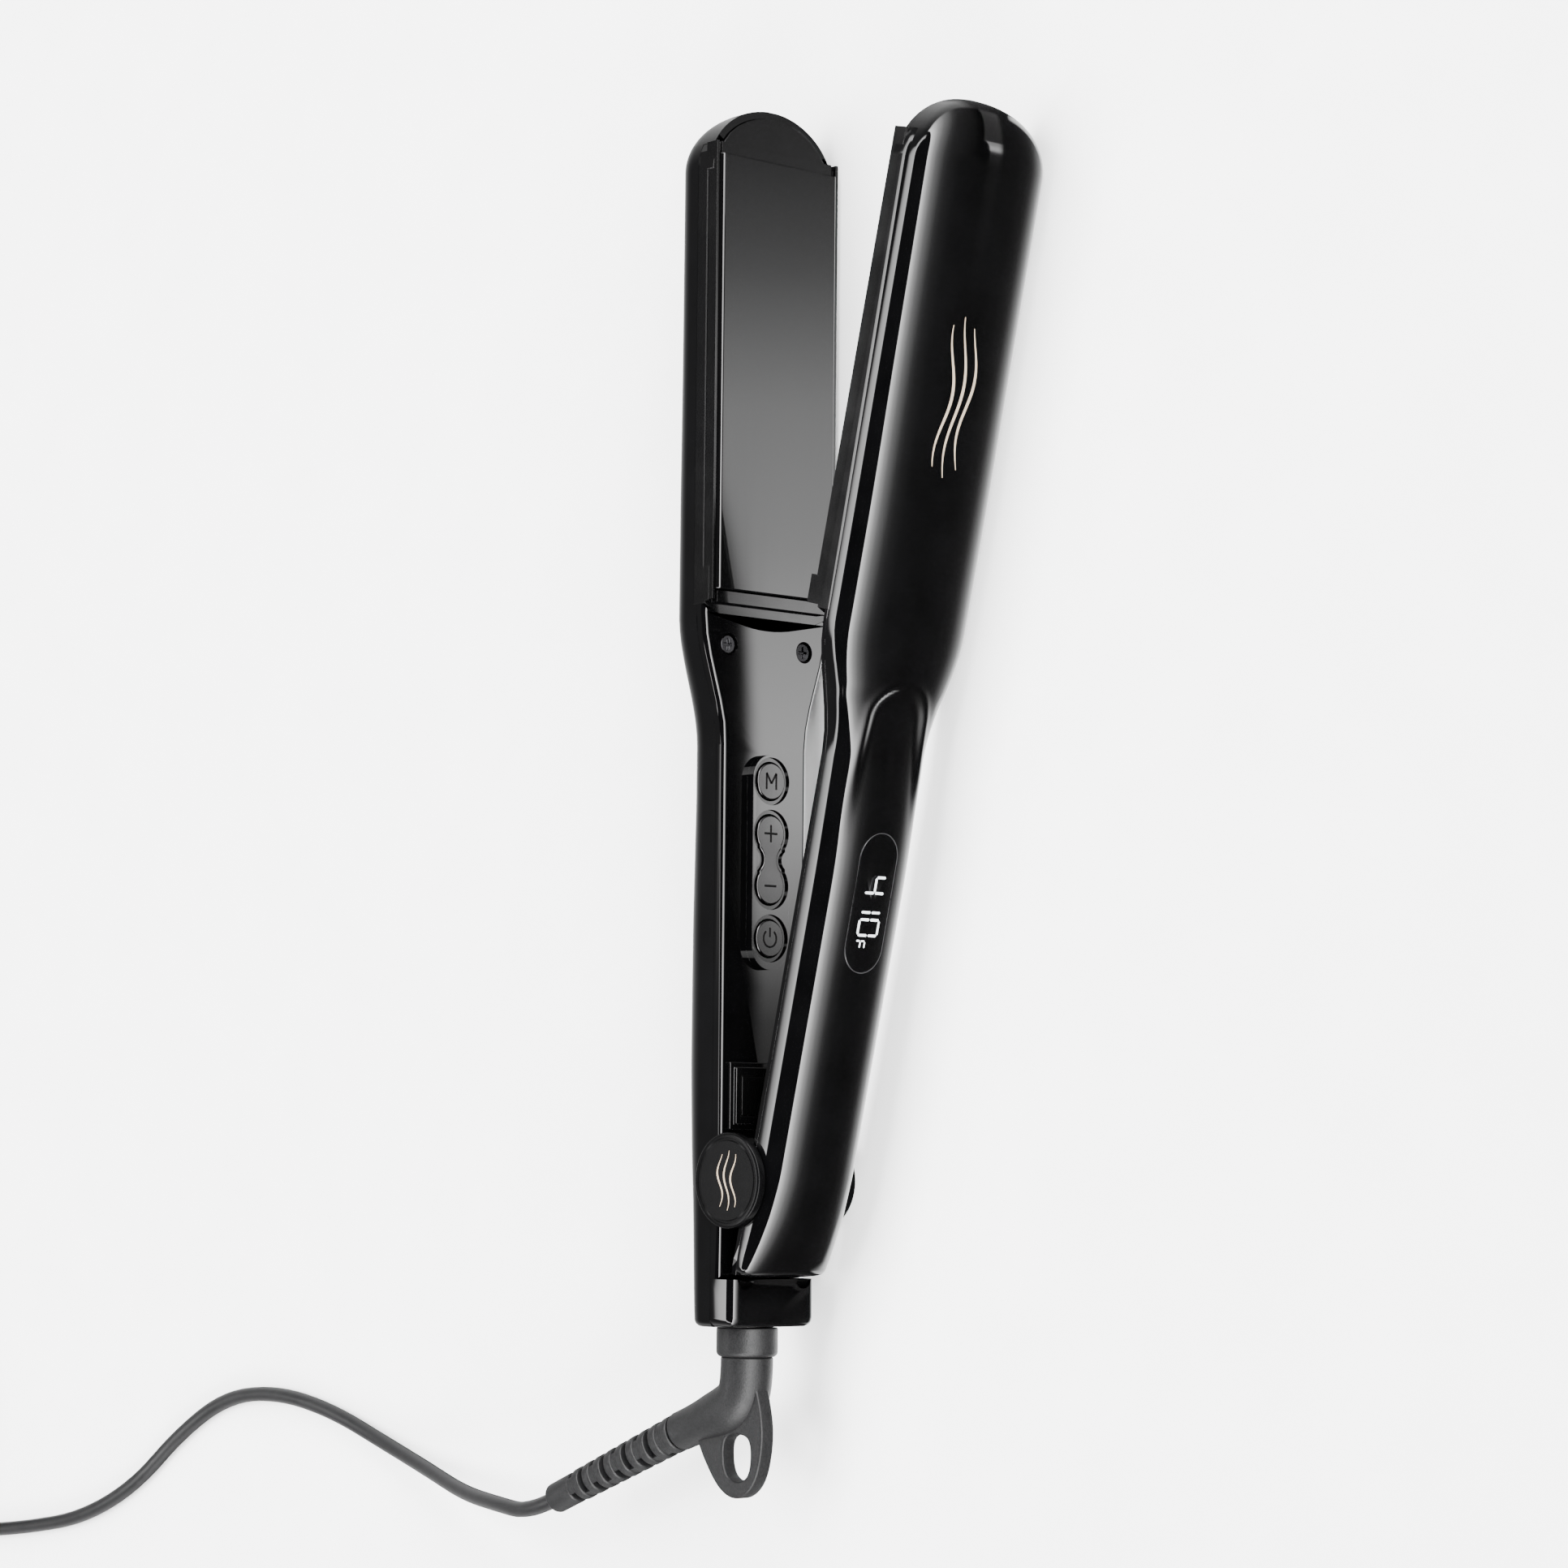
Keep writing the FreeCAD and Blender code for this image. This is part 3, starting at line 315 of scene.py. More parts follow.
GLOSS_BLACK, SATIN_BLACK = (0.0008, 0.0008, 0.0009), (0.0012, 0.0012, 0.0013)
FINISHES = {
    "gloss_shell": dict(colour=GLOSS_BLACK, rough=0.04, speck=0.3, scale=90, rough_swing=0.012),
    "gloss_cover": dict(colour=GLOSS_BLACK, rough=0.022, speck=0.3, scale=90, rough_swing=0.01),
    "satin_carrier": dict(colour=SATIN_BLACK, rough=0.07, speck=0.12, rough_swing=0.02, shine=0.45),
    "plate_coating": dict(colour=SATIN_BLACK, rough=0.035, speck=0.05, scale=700, stretch=(0.08, 1, 1),
                          rough_swing=0.012),
    "heater_ceramic": dict(colour=(0.72, 0.70, 0.66), rough=0.6, speck=0.08),
    "spring_steel": dict(colour=(0.45, 0.45, 0.46), rough=0.28, metal=1.0),
    "silicone_buffer": dict(colour=(0.42, 0.12, 0.08), rough=0.5),
    "screw_steel": dict(colour=(0.05, 0.05, 0.053), rough=0.22, metal=1.0, scale=1500),
    "bracket_steel": dict(colour=(0.50, 0.50, 0.51), rough=0.33, metal=1.0, stretch=(0.2, 1, 1)),
    "cap_satin": dict(colour=SATIN_BLACK, rough=0.20, grain=0.05, grain_scale=6000, rough_swing=0.015,
                      shine=0.08),
    "button_black": dict(colour=SATIN_BLACK, rough=0.08, rough_swing=0.02),
    "circuit_board": dict(colour=(0.02, 0.14, 0.06), rough=0.35, coat=0.4),
    "board_parts": dict(colour=(0.05, 0.05, 0.055), rough=0.5, speck=0.4, scale=300),
    "terminal_plastic": dict(colour=(0.75, 0.74, 0.70), rough=0.5),
    "lead_insulation": dict(colour=(0.35, 0.05, 0.04), rough=0.45, speck=0.3, scale=120),
    "display_window": dict(colour=GLOSS_BLACK, rough=0.035, rough_swing=0.01, scale=60),
    "swivel_rubber": dict(colour=(0.005, 0.005, 0.0053), rough=0.46, speck=0.45, scale=2400, grain=0.9,
                          grain_scale=3200, shine=0.3),
    "cord_jacket": dict(colour=(0.005, 0.005, 0.0053), rough=0.32, speck=0.2, grain=0.2, grain_scale=3000),
    "tie_strap": dict(colour=(0.02, 0.02, 0.022), rough=0.7, speck=0.4, grain=0.8, grain_scale=1800),
    "plug_plastic": dict(colour=(0.008, 0.008, 0.0085), rough=0.42, grain=0.4, grain_scale=2600),
    "blade_brass": dict(colour=(0.66, 0.62, 0.52), rough=0.24, metal=1.0, stretch=(0.15, 1, 1)),
    "mark_dark": dict(colour=(0.004, 0.004, 0.004), rough=0.8, shine=0.05),
    # Lighter grey than the shell's black: a painted highlight that stands in for the bevel highlight along the
    # display window's groove.
    "window_rim": dict(colour=(0.018, 0.018, 0.019), rough=0.3, scale=900),
    "mark_beige": dict(colour=(0.25, 0.20, 0.145), rough=0.45, speck=0.08, scale=2500),
}
M = {name: plain_material(name, **finish) for name, finish in FINISHES.items()}
M["display_light"] = light_material("display_light", (0.42, 0.44, 0.46), 0.9)
# Each CAD node in the record gets the material of its slot, smooth shading and sharp edges by angle.
for entry in frame["record"]["subparts"]:
    slot_name, node = entry["material_slot"], frame["nodes"].get(entry["node"])
    if node is not None and slot_name in M:
        node.data.materials.clear()
        node.data.materials.append(M[slot_name])
        node.data.shade_smooth()
        node.data.set_sharp_from_angle(angle=math.radians(28))


# ---- mesh helpers ----------------------------------------------------------------------------
def new_piece(name, mesh, material, body, *nodes):
    """Links a mesh as a piece that rides on a body and stands for the named CAD nodes."""
    piece = linked(name, mesh)
    mesh.materials.clear()
    mesh.materials.append(M[material])
    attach(piece, body)
    if nodes:
        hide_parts(*nodes)
    return piece


def finish_mesh(built, name, angle=28):
    mesh = bpy.data.meshes.new(name)
    bmesh.ops.recalc_face_normals(built, faces=built.faces)
    built.to_mesh(mesh)
    built.free()
    mesh.shade_smooth()
    mesh.set_sharp_from_angle(angle=math.radians(angle))
    return mesh


def bake(piece):
    """Applies a piece's modifiers, so that its mesh is final."""
    shown = bpy.context.evaluated_depsgraph_get()
    mesh = bpy.data.meshes.new_from_object(piece.evaluated_get(shown))
    piece.modifiers.clear()
    piece.data = mesh
    return piece


def soften(piece, width):
    """Rounds every sharp edge of a piece."""
    edge = piece.modifiers.new("soften", "BEVEL")
    edge.width = width * MM
    edge.segments = 2
    edge.limit_method = "ANGLE"
    edge.angle_limit = math.radians(35)
    even = piece.modifiers.new("even", "WEIGHTED_NORMAL")
    even.keep_sharp = True
    even.weight = 80
    return bake(piece)


def round_rim(built, reach, margin, width):
    """A large rounding along the base cover's own outline, on the face at a given reach."""
    def on_rim(vert):
        along = (vert.co.x - ORIGIN.x) / MM
        across = abs(vert.co.z - ORIGIN.z) / MM
        on_face = abs(vert.co.y - row(0, -reach, 0).y) < 0.06 * MM
        return on_face and across > half_width(1, along) - margin

    edges = [e for e in built.edges if all(on_rim(v) for v in e.verts) and len(e.link_faces) == 2
             and e.calc_face_angle(0) > math.radians(60)]
    bmesh.ops.bevel(built, geom=edges, offset=width * MM, segments=6, profile=0.5, affect="EDGES",
                    clamp_overlap=False)


def soft_copy(node_name, material, body, width, first=None):
    """A CAD node's own shape with its edges rounded, as moulded or machined parts have them.

    first is what is done to the shape before that.
    """
    built = bmesh.new()
    built.from_mesh(frame["nodes"][node_name].data)
    bmesh.ops.remove_doubles(built, verts=built.verts, dist=0.002 * MM)
    bmesh.ops.dissolve_limit(built, angle_limit=math.radians(0.8), verts=built.verts, edges=built.edges)
    if first:
        first(built)
    mesh = finish_mesh(built, node_name)
    return soften(new_piece(node_name + "_soft", mesh, material, body, node_name), width)


def curve_mesh(name, data):
    """The mesh that a curve makes. The curve isn't kept in the scene."""
    holder = linked(name, data)
    shown = bpy.context.evaluated_depsgraph_get()
    mesh = bpy.data.meshes.new_from_object(holder.evaluated_get(shown))
    bpy.data.objects.remove(holder)
    return mesh


def tube_path(points, per_run=6):
    """Points read from the smooth NURBS line of a route, in the row frame."""
    data = bpy.data.curves.new("route", "CURVE")
    data.dimensions = "3D"
    data.resolution_u = per_run
    line = data.splines.new("NURBS")
    line.points.add(len(points) - 1)
    for spot, point in zip(points, line.points):
        point.co = (*spot, 1.0)
    line.order_u = 3
    line.use_endpoint_u = True
    line.resolution_u = per_run
    mesh = curve_mesh("route", data)
    path = [v.co.copy() for v in mesh.vertices]
    bpy.data.meshes.remove(mesh)
    return path


def bridge(built, one, two):
    """Faces between two matching closed loops of vertices."""
    count = len(one)
    for k in range(count):
        built.faces.new((one[k], one[(k + 1) % count], two[(k + 1) % count], two[k]))


def loft(built, loops):
    """Faces between closed loops of vertices, one after another, and a cap at each end."""
    for one, two in zip(loops, loops[1:]):
        bridge(built, one, two)
    built.faces.new(loops[0])
    built.faces.new(loops[-1])


def add_block(built, near, far):
    """A prism between two matching outlines, given as points in metres."""
    loft(built, [[built.verts.new(spot) for spot in outline] for outline in (near, far)])


def sweep(path, radius_at, sides):
    """A round tube along a path. radius_at(i) is its radius at point i, in metres."""
    built = bmesh.new()
    rings, normal = [], None
    for i, spot in enumerate(path):
        ahead = path[min(i + 1, len(path) - 1)] - path[max(i - 1, 0)]
        ahead.normalize()
        if normal is None:
            normal = ahead.orthogonal().normalized()
        normal = (normal - ahead * normal.dot(ahead)).normalized()
        other = ahead.cross(normal)
        ring = []
        for k in range(sides):
            turn = 2 * math.pi * k / sides
            way = normal * math.cos(turn) + other * math.sin(turn)
            ring.append(built.verts.new(spot + way * radius_at(i)))
        rings.append(ring)
    loft(built, rings)
    return built


# ---- the lead ---------------------------------------------------------------------------------
# The route's control points: (along, depth, across), from the boot to the coil.
CORD_ROUTE = [(-76.9, -75.2, 0.0), (-81.05, -85.4, 0.0), (-80.0, -100.5, -2.4),
              (-78.7, -119.0, -6.6), (-74.4, -141.0, -12.4), (-69.2, -165.0, -16.9),
              (-62.0, -189.0, CORD_LOW),
              (-58.4, -213.0, CORD_LOW), (-60.6, -236.0, CORD_LOW), (-71.5, -257.5, CORD_LOW),
              (-87.0, -278.5, CORD_LOW), (-97.5, -304.0, CORD_LOW), (-102.0, -331.0, CORD_LOW),
              (-105.0, -359.0, CORD_LOW)]
COIL_MEAN, COIL_TURN = 23.0, 7.8        # its middle radius, and half of its wound width
COIL_CENTRE = (-106.0 + COIL_MEAN + COIL_TURN - CORD_RADIUS, -388.0)
COIL_FAR = COIL_CENTRE[1] - COIL_MEAN - COIL_TURN + CORD_RADIUS
CORD_TAIL = [(-68.0, COIL_FAR + 0.2, TABLE + 13.0), (-57.0, COIL_FAR + 0.9, TABLE + 8.4),
             (-48.5, COIL_FAR + 1.4, TABLE + 6.5), (-40.0, COIL_FAR + 1.4, TABLE + 6.5)]
COIL_LAYERS, COIL_TURNS = 4, 4          # turns are in one layer
COIL_STEPS = 16             # control points in one turn of the coil
COIL_CLIMB = 0.5            # the last share of a layer's turns, where it climbs to the next


def coil_points():
    """Layers of turns, from the outside of the lowest layer to the outside of the top one."""
    points = []
    pitch = 2 * CORD_RADIUS
    outer = COIL_MEAN + COIL_TURN - CORD_RADIUS
    innermost = COIL_TURNS - 1.0
    total = COIL_LAYERS * COIL_TURNS * COIL_STEPS + COIL_STEPS // 4
    for i in range(total + 1):
        turn = i / COIL_STEPS
        layer = min(COIL_LAYERS - 1, int(turn / COIL_TURNS))
        share = min(turn - layer * COIL_TURNS, COIL_TURNS)
        column = min(innermost, share * innermost / (COIL_TURNS - COIL_CLIMB))
        if layer % 2:
            column = innermost - column
        rise = 0.0
        if layer < COIL_LAYERS - 1:
            rise = min(1.0, max(0.0, (share - COIL_TURNS + COIL_CLIMB) / COIL_CLIMB))
        height = TABLE + CORD_RADIUS + pitch * (layer + rise)
        radius = outer - pitch * column
        angle = 2 * math.pi * turn
        points.append((COIL_CENTRE[0] - radius * math.cos(angle),
                       COIL_CENTRE[1] - radius * math.sin(angle), height))
    return points


def make_cord():
    route = CORD_ROUTE + coil_points() + CORD_TAIL
    path = tube_path([row(*spot) for spot in route])
    built = sweep(path, lambda i: CORD_RADIUS * MM, sides=12)
    mesh = finish_mesh(built, "mains_lead", angle=60)
    piece = linked("mains_lead", mesh)
    mesh.materials.append(M["cord_jacket"])
    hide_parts("cord_run", "cord_coil", "cord_tail")
    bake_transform(piece)
    return piece


# ---- the outer shells ------------------------------------------------------------------------
SIDE_TOP = {1: 7.9, -1: 7.3}      # reach where a shell's straight side wall starts to round
BACK_POWER = {1: (3.4, 3.4), -1: (2.3, 4.0)}    # how square the back is: across, and down the side
ARCH_ALONG, ARCH_RADIUS, ARCH_DROP = 109.0, 8.0, 0.95
TABLES = {1: BASE_REACH, -1: ARM_REACH}
STARTS = {1: BASE_END, -1: ARM_END}
END_ROUND = {1: 1.6, -1: 2.2}
ARCH_SINKS, ARCH_EDGE, ARCH_NARROWS = (78.0, 108.0), (-1.9, 1.5), 0.10
RIDGE_TALL, RIDGE_RISES, RIDGE_AWAY, RIDGE_WIDE = 0.26, (90.0, 108.0), 0.9, 1.3
ARCH_ZONE = (96, 121)                   # where the moving arm's shell needs finer slices
FINE_SLICE, SLICE, SEAM_STEP = 0.7, 2.2, 0.04
KNUCKLE_CUTS = {1: (0.35, 10.15), -1: (0.05, 10.3)}     # spare radius, and where each cut starts across


def smooth_table(table, along):
    """Value of a (position, value) table on a smooth line that doesn't overshoot."""
    if along <= table[0][0]:
        return table[0][1]
    if along >= table[-1][0]:
        return table[-1][1]
    slopes = [(v1 - v0) / (a1 - a0) for (a0, v0), (a1, v1) in zip(table, table[1:])]
    bends = [0 if s * t <= 0 else 2 * s * t / (s + t) for s, t in zip(slopes, slopes[1:])]
    bends = [slopes[0]] + bends + [slopes[-1]]
    for i, ((a0, v0), (a1, v1)) in enumerate(zip(table, table[1:])):
        if along <= a1:
            run = a1 - a0
            t = (along - a0) / run
            return ((2 * t ** 3 - 3 * t * t + 1) * v0 + (t ** 3 - 2 * t * t + t) * run * bends[i]
                    + (3 * t * t - 2 * t ** 3) * v1 + (t ** 3 - t * t) * run * bends[i + 1])


def ease(low, high, value):
    share = min(1.0, max(0.0, (value - low) / (high - low)))
    return share * share * (3.0 - 2.0 * share)


def tip_factor(side, along, inset=0.0, power=2.0):
    share = max(0.0, (along - TIP_CENTRE) / (TIP_LONG[side] - inset))
    return max(0.0, 1.0 - share ** power) ** (1.0 / power)


def end_inset(side, along):
    """How far the section is drawn in where the shell's end rounds over."""
    radius = END_ROUND[side]
    into = along - STARTS[side]
    if into >= radius:
        return 0.0
    return radius - math.sqrt(max(0.0, radius ** 2 - (radius - into) ** 2))


def half_width(side, along, inset=0.0):
    width = GRIP_HALF + (HEAD_HALF - GRIP_HALF) * ease(NECK_START, NECK_END, along)
    return (width - inset - end_inset(side, along)) * tip_factor(side, along, inset)


def back_reach(side, along, inset=0.0):
    """Reach of the middle of the back."""
    reach = smooth_table(TABLES[side], along) - inset - end_inset(side, along)
    return TIP_EDGE + (reach - TIP_EDGE) * tip_factor(side, along, inset, TIP_POWER[side])


def arch_drop(along, across):
    """The thumb arch: the handle's back is sunk inside it, with a low ridge along its line."""
    if along > ARCH_ALONG:
        away = math.hypot(along - ARCH_ALONG, across) - ARCH_RADIUS
    else:
        away = abs(across) - ARCH_RADIUS - (ARCH_ALONG - along) * ARCH_NARROWS
    sunk = ARCH_DROP * ease(*ARCH_SINKS, along) * (1.0 - ease(*ARCH_EDGE, away))
    ridge = math.exp(-((away - RIDGE_AWAY) / RIDGE_WIDE) ** 2)
    return sunk - RIDGE_TALL * ease(*RIDGE_RISES, along) * ridge


def skin_reach(side, along, across):
    """Reach of a shell's outer skin at a spot on its back."""
    half = half_width(side, along)
    top, low = back_reach(side, along), SIDE_TOP[side]
    share = min(1.0, abs(across) / half)
    flat, steep = BACK_POWER[side]
    reach = low + (top - low) * (1.0 - share ** flat) ** (1.0 / steep)
    return reach - (arch_drop(along, across) if side < 0 else 0.0)


def shell_seam(side, along):
    if along > TIP_SEAM_START:
        return TIP_EDGE
    if along > HEAD_SEAM_START:
        return SEAM_HEAD
    return SEAM_GRIP if side > 0 else ARM_SEAM


def shell_ring(side, along, inset):
    """One slice of a shell, from one rim over the back to the other rim."""
    steps = 64
    half, top = half_width(side, along, inset), back_reach(side, along, inset)
    low = TIP_EDGE + (SIDE_TOP[side] - TIP_EDGE) * tip_factor(side, along, inset)
    low = min(low, top - 0.01)
    seam = min(shell_seam(side, along), low - 0.005)
    flat, steep = (2.0 / power for power in BACK_POWER[side])
    spots = [(-half, seam), (-half, (seam + low) / 2)]
    for i in range(steps + 1):
        turn = math.pi * (1.0 - i / steps)
        c, s = math.cos(turn), max(0.0, math.sin(turn))
        across = math.copysign(abs(c) ** flat, c) * half
        reach = low + (top - low) * s ** steep
        if side < 0:
            reach -= arch_drop(along, across) * min(1.0, s * 2)
        spots.append((across, reach))
    return spots + [(half, (seam + low) / 2), (half, seam)]


def shell_stations(side):
    """Where a shell is sliced: finer at its rounded ends, the thumb arch and the seam's steps."""
    start = STARTS[side]
    stations = [start + END_ROUND[side] * (1 - math.cos(math.pi / 2 * i / 6)) for i in range(7)]
    along = stations[-1]
    while along < TIP_CENTRE:
        along += FINE_SLICE if ARCH_ZONE[0] < along < ARCH_ZONE[1] and side < 0 else SLICE
        stations.append(min(along, TIP_CENTRE))
    stations += [spot + step for spot in (HEAD_SEAM_START, TIP_SEAM_START)
                 for step in (-SEAM_STEP, SEAM_STEP)]
    stations += [TIP_CENTRE + TIP_LONG[side] * math.sin(math.pi / 2 * i / 18) for i in range(1, 18)]
    return sorted(stations)


def shell_mesh(side, name):
    """A thin tub: outer skin, inner skin and the rims that join them."""
    built = bmesh.new()
    skins = []
    for inset in (0.0, WALL):
        rings = []
        for along in shell_stations(side):
            if along > TIP_CENTRE:
                place = TIP_CENTRE + (along - TIP_CENTRE) * (TIP_LONG[side] - inset) / TIP_LONG[side]
            else:
                place = max(along, STARTS[side] + inset)
            rings.append([built.verts.new(arm_spot(side, place, reach, across))
                          for across, reach in shell_ring(side, place, inset)])
        skins.append(rings)
    for rings in skins:
        for one, two in zip(rings, rings[1:]):
            for k in range(len(one) - 1):
                built.faces.new((one[k], one[k + 1], two[k + 1], two[k]))
        built.faces.new(rings[0])
        built.faces.new(rings[-1])
    outer, inner = skins
    for i in range(len(outer) - 1):
        for k in (0, -1):
            built.faces.new((outer[i][k], outer[i + 1][k], inner[i + 1][k], inner[i][k]))
    for i in (0, -1):
        built.faces.new((outer[i][0], outer[i][-1], inner[i][-1], inner[i][0]))
    bmesh.ops.remove_doubles(built, verts=built.verts, dist=0.004 * MM)
    return finish_mesh(built, name, angle=35)


def cylinder_cutter(start, end, radius):
    built = sweep([start, end], lambda i: radius, sides=72)
    return linked("cutter", finish_mesh(built, "cutter", angle=40))


def outline_cutter(outline, near, far):
    """A closed outline, stretched between the two places that near and far give its spots."""
    built = bmesh.new()
    add_block(built, [near(spot) for spot in outline], [far(spot) for spot in outline])
    return linked("cutter", finish_mesh(built, "cutter", angle=40))


def carve(piece, cutters):
    for cutter in cutters:
        taken = piece.modifiers.new("carve", "BOOLEAN")
        taken.operation = "DIFFERENCE"
        taken.solver = "EXACT"
        taken.object = cutter
    bake(piece)
    for cutter in cutters:
        bpy.data.objects.remove(cutter)
    piece.data.shade_smooth()
    piece.data.set_sharp_from_angle(angle=math.radians(33))
    return piece


def knuckle_cutters(side):
    """Room for the hinge's knuckles, at both edges of a handle."""
    spare, inner = KNUCKLE_CUTS[side]
    return [cylinder_cutter(row(0, PIN_DEPTH, sign * inner), row(0, PIN_DEPTH, sign * 20),
                            (KNUCKLE_RADIUS + spare) * MM) for sign in (-1, 1)]


def swivel_cutter(start, end):
    """The bore for the swivel, between two distances from the cord end."""
    return cylinder_cutter(row(BASE_END + start, SWIVEL_DEPTH, 0), row(BASE_END + end, SWIVEL_DEPTH, 0),
                           SWIVEL_BORE * MM)


def window_outline(grow):
    """Points (along, across) round the display: a bar with two round ends, grown all round."""
    low, high = WINDOW_ALONG - WINDOW_LONG / 2 - grow, WINDOW_ALONG + WINDOW_LONG / 2 + grow
    half, steps = WINDOW_HALF + grow, 22
    spots = []
    for middle, start in ((high - half, -90), (low + half, 90)):
        for i in range(steps + 1):
            turn = math.radians(start + 180 * i / steps)
            spots.append((middle + half * math.cos(turn), half * math.sin(turn)))
    return spots


def make_base_shell():
    piece = new_piece("base_shell", shell_mesh(1, "base_shell"), "gloss_shell", "base", "base_outer_shell")
    carve(piece, knuckle_cutters(1) + [swivel_cutter(-5, 5)])


def make_arm_shell():
    piece = new_piece("arm_shell", shell_mesh(-1, "arm_shell"), "gloss_shell", "moving_arm",
                      "arm_outer_shell")
    window = outline_cutter(window_outline(WINDOW_GAP), lambda p: arm_spot(-1, p[0], 10, p[1]),
                            lambda p: arm_spot(-1, p[0], 30, p[1]))
    carve(piece, knuckle_cutters(-1) + [window])


def on_arm_skin(along, across, lift):
    """A point on the moving arm's outer skin, or proud of it by lift."""
    return arm_spot(-1, along, skin_reach(-1, along, across) + lift, across)


def lens_mesh(outline, lift, depth):
    """A cap that follows the moving arm's skin inside a closed (along, across) outline."""
    built = bmesh.new()
    rings = 7
    top = [[built.verts.new(arm_spot(-1, WINDOW_ALONG + (a - WINDOW_ALONG) * ring / rings,
                                     skin_reach(-1, a, w * ring / rings) + lift, w * ring / rings))
            for a, w in outline] for ring in range(1, rings + 1)]
    middle = built.verts.new(on_arm_skin(WINDOW_ALONG, 0, lift))
    low = [built.verts.new(arm_spot(-1, a, skin_reach(-1, a, w) + lift - depth, w)) for a, w in outline]
    count = len(outline)
    for i in range(count):
        j = (i + 1) % count
        built.faces.new((middle, top[0][i], top[0][j]))
        for one, two in zip(top, top[1:]):
            built.faces.new((one[i], one[j], two[j], two[i]))
        built.faces.new((top[-1][i], top[-1][j], low[j], low[i]))
    built.faces.new(low)
    return finish_mesh(built, "window_lens", angle=40)


def make_window():
    mesh = lens_mesh(window_outline(0), -0.02, 1.2)
    soften(new_piece("window_lens", mesh, "display_window", "moving_arm", "display_lens"), 0.1)
    # A ring round the window, lighter grey than the shell: a painted highlight along the groove's edge.
    inner, outer = window_outline(0.03), window_outline(0.2)
    built = bmesh.new()
    loops = [[built.verts.new(on_arm_skin(a, w, lift)) for a, w in outline]
             for outline, lift in ((inner, -0.06), (outer, 0.0), (outer, -0.6), (inner, -0.6))]
    for k in range(4):
        bridge(built, loops[k], loops[(k + 1) % 4])
    new_piece("window_rim", finish_mesh(built, "window_rim"), "window_rim", "moving_arm")


DIGIT_FIRST, DIGIT_PITCH, ONE_SHIFT = 4.2, 4.87, 0.4     # the first digit's place, from the window's middle
DIGIT_SIZE, UNIT_SIZE = (6.0, 3.6, 0.6), (2.7, 1.7, 0.4)    # height, width and width of a bar
UNIT_PLACE = (-9.5, -1.75)
MARK_LIFT, MARK_SUNK = 0.03, 0.05       # how proud marks stand, and how deep they go
LIT = {4: "bcfg", 1: "bc", 0: "abcdef", "F": "aefg"}


def segment_bars(built, digit, middle, base, tall, wide, bar):
    """A seven-segment sign: it reads towards the hinge, with its top towards the table."""
    h, w = tall / 2, wide / 2
    places = {"a": (0, h, 0), "d": (0, -h, 0), "g": (0, 0, 0), "b": (w, h / 2, 1),
              "c": (w, -h / 2, 1), "e": (-w, -h / 2, 1), "f": (-w, h / 2, 1)}
    for name in LIT[digit]:
        right, up, upright = places[name]
        long, thin = (h / 2 - 0.12, bar / 2) if upright else (w - 0.12, bar / 2)
        end = thin * 0.9
        outline = [(-long, 0), (-long + end, thin), (long - end, thin), (long, 0), (long - end, -thin),
                   (-long + end, -thin)]
        spots = []
        for u, v in outline:
            x, y = (v, u) if upright else (u, v)
            spots.append((middle - right - x, -(base + up + y)))
        add_block(built, [on_arm_skin(a, z, MARK_LIFT) for a, z in spots],
                  [on_arm_skin(a, z, MARK_LIFT - 0.06) for a, z in spots])


def make_digits():
    built = bmesh.new()
    for index, digit in enumerate((4, 1, 0)):
        shift = ONE_SHIFT if digit == 1 else 0.0
        segment_bars(built, digit, WINDOW_ALONG + DIGIT_FIRST - DIGIT_PITCH * index + shift, 0.0, *DIGIT_SIZE)
    segment_bars(built, "F", WINDOW_ALONG + UNIT_PLACE[0], UNIT_PLACE[1], *UNIT_SIZE)
    mesh = finish_mesh(built, "lit_digits", angle=20)
    new_piece("lit_digits", mesh, "display_light", "moving_arm", "display_digits")


def strand_mesh(name, spot_at, length, gap, swing, thick):
    """Three wavy strands: a plain decoration. spot_at(along, across, lift) places a point."""
    built = bmesh.new()
    steps = 44
    for index in range(3):
        short = 1.0 - 0.12 * abs(index - 1)
        lines = []
        for i in range(steps + 1):
            t = i / steps
            along = (t - 0.5) * length * short
            across = (index - 1) * gap + swing * math.sin(2 * math.pi * (t * 1.15 + 0.07 * index))
            half = thick * (0.25 + 0.75 * math.sin(math.pi * t)) / 2
            lines.append([built.verts.new(spot_at(along, across + reach, lift)) for reach, lift in
                          ((half, MARK_LIFT), (-half, MARK_LIFT), (-half, -MARK_SUNK), (half, -MARK_SUNK))])
        loft(built, lines)
    return finish_mesh(built, name)


def make_strand_marks():
    middle = 183.0
    mesh = strand_mesh("arm_strand_mark",
                       lambda along, across, lift: on_arm_skin(middle + along, across, lift),
                       36.0, 3.1, 1.5, 0.85)
    new_piece("arm_strand_mark", mesh, "mark_beige", "moving_arm")
    mesh = strand_mesh("cap_strand_mark",
                       lambda along, across, lift: row(along, PIN_DEPTH + across, CAP_OUTER + lift),
                       13.5, 2.2, 0.9, 0.55)
    new_piece("cap_strand_mark", mesh, "mark_beige", "base")


# ---- caps, end block and cord end ------------------------------------------------------------
CAP_ROUND, CAP_CHAMFER = 0.55, 0.15
CAP_GROOVE = ((1.1, 0.0), (1.35, 0.14), (1.6, 0.14), (1.9, 0.0))    # in from the rim, and down
BLOCK_LOW, BLOCK_ROUND = -1.6, 2.2      # reach of the end block's inner face, and its rounding
NOTCH_RADIUS, NOTCH_ACROSS = 2.5, 8.9
COLLAR_RADIUS, COLLAR_LONG = 7.1, 6.7
ELBOW_THICK, ELBOW_THINS = 6.06, 1.46


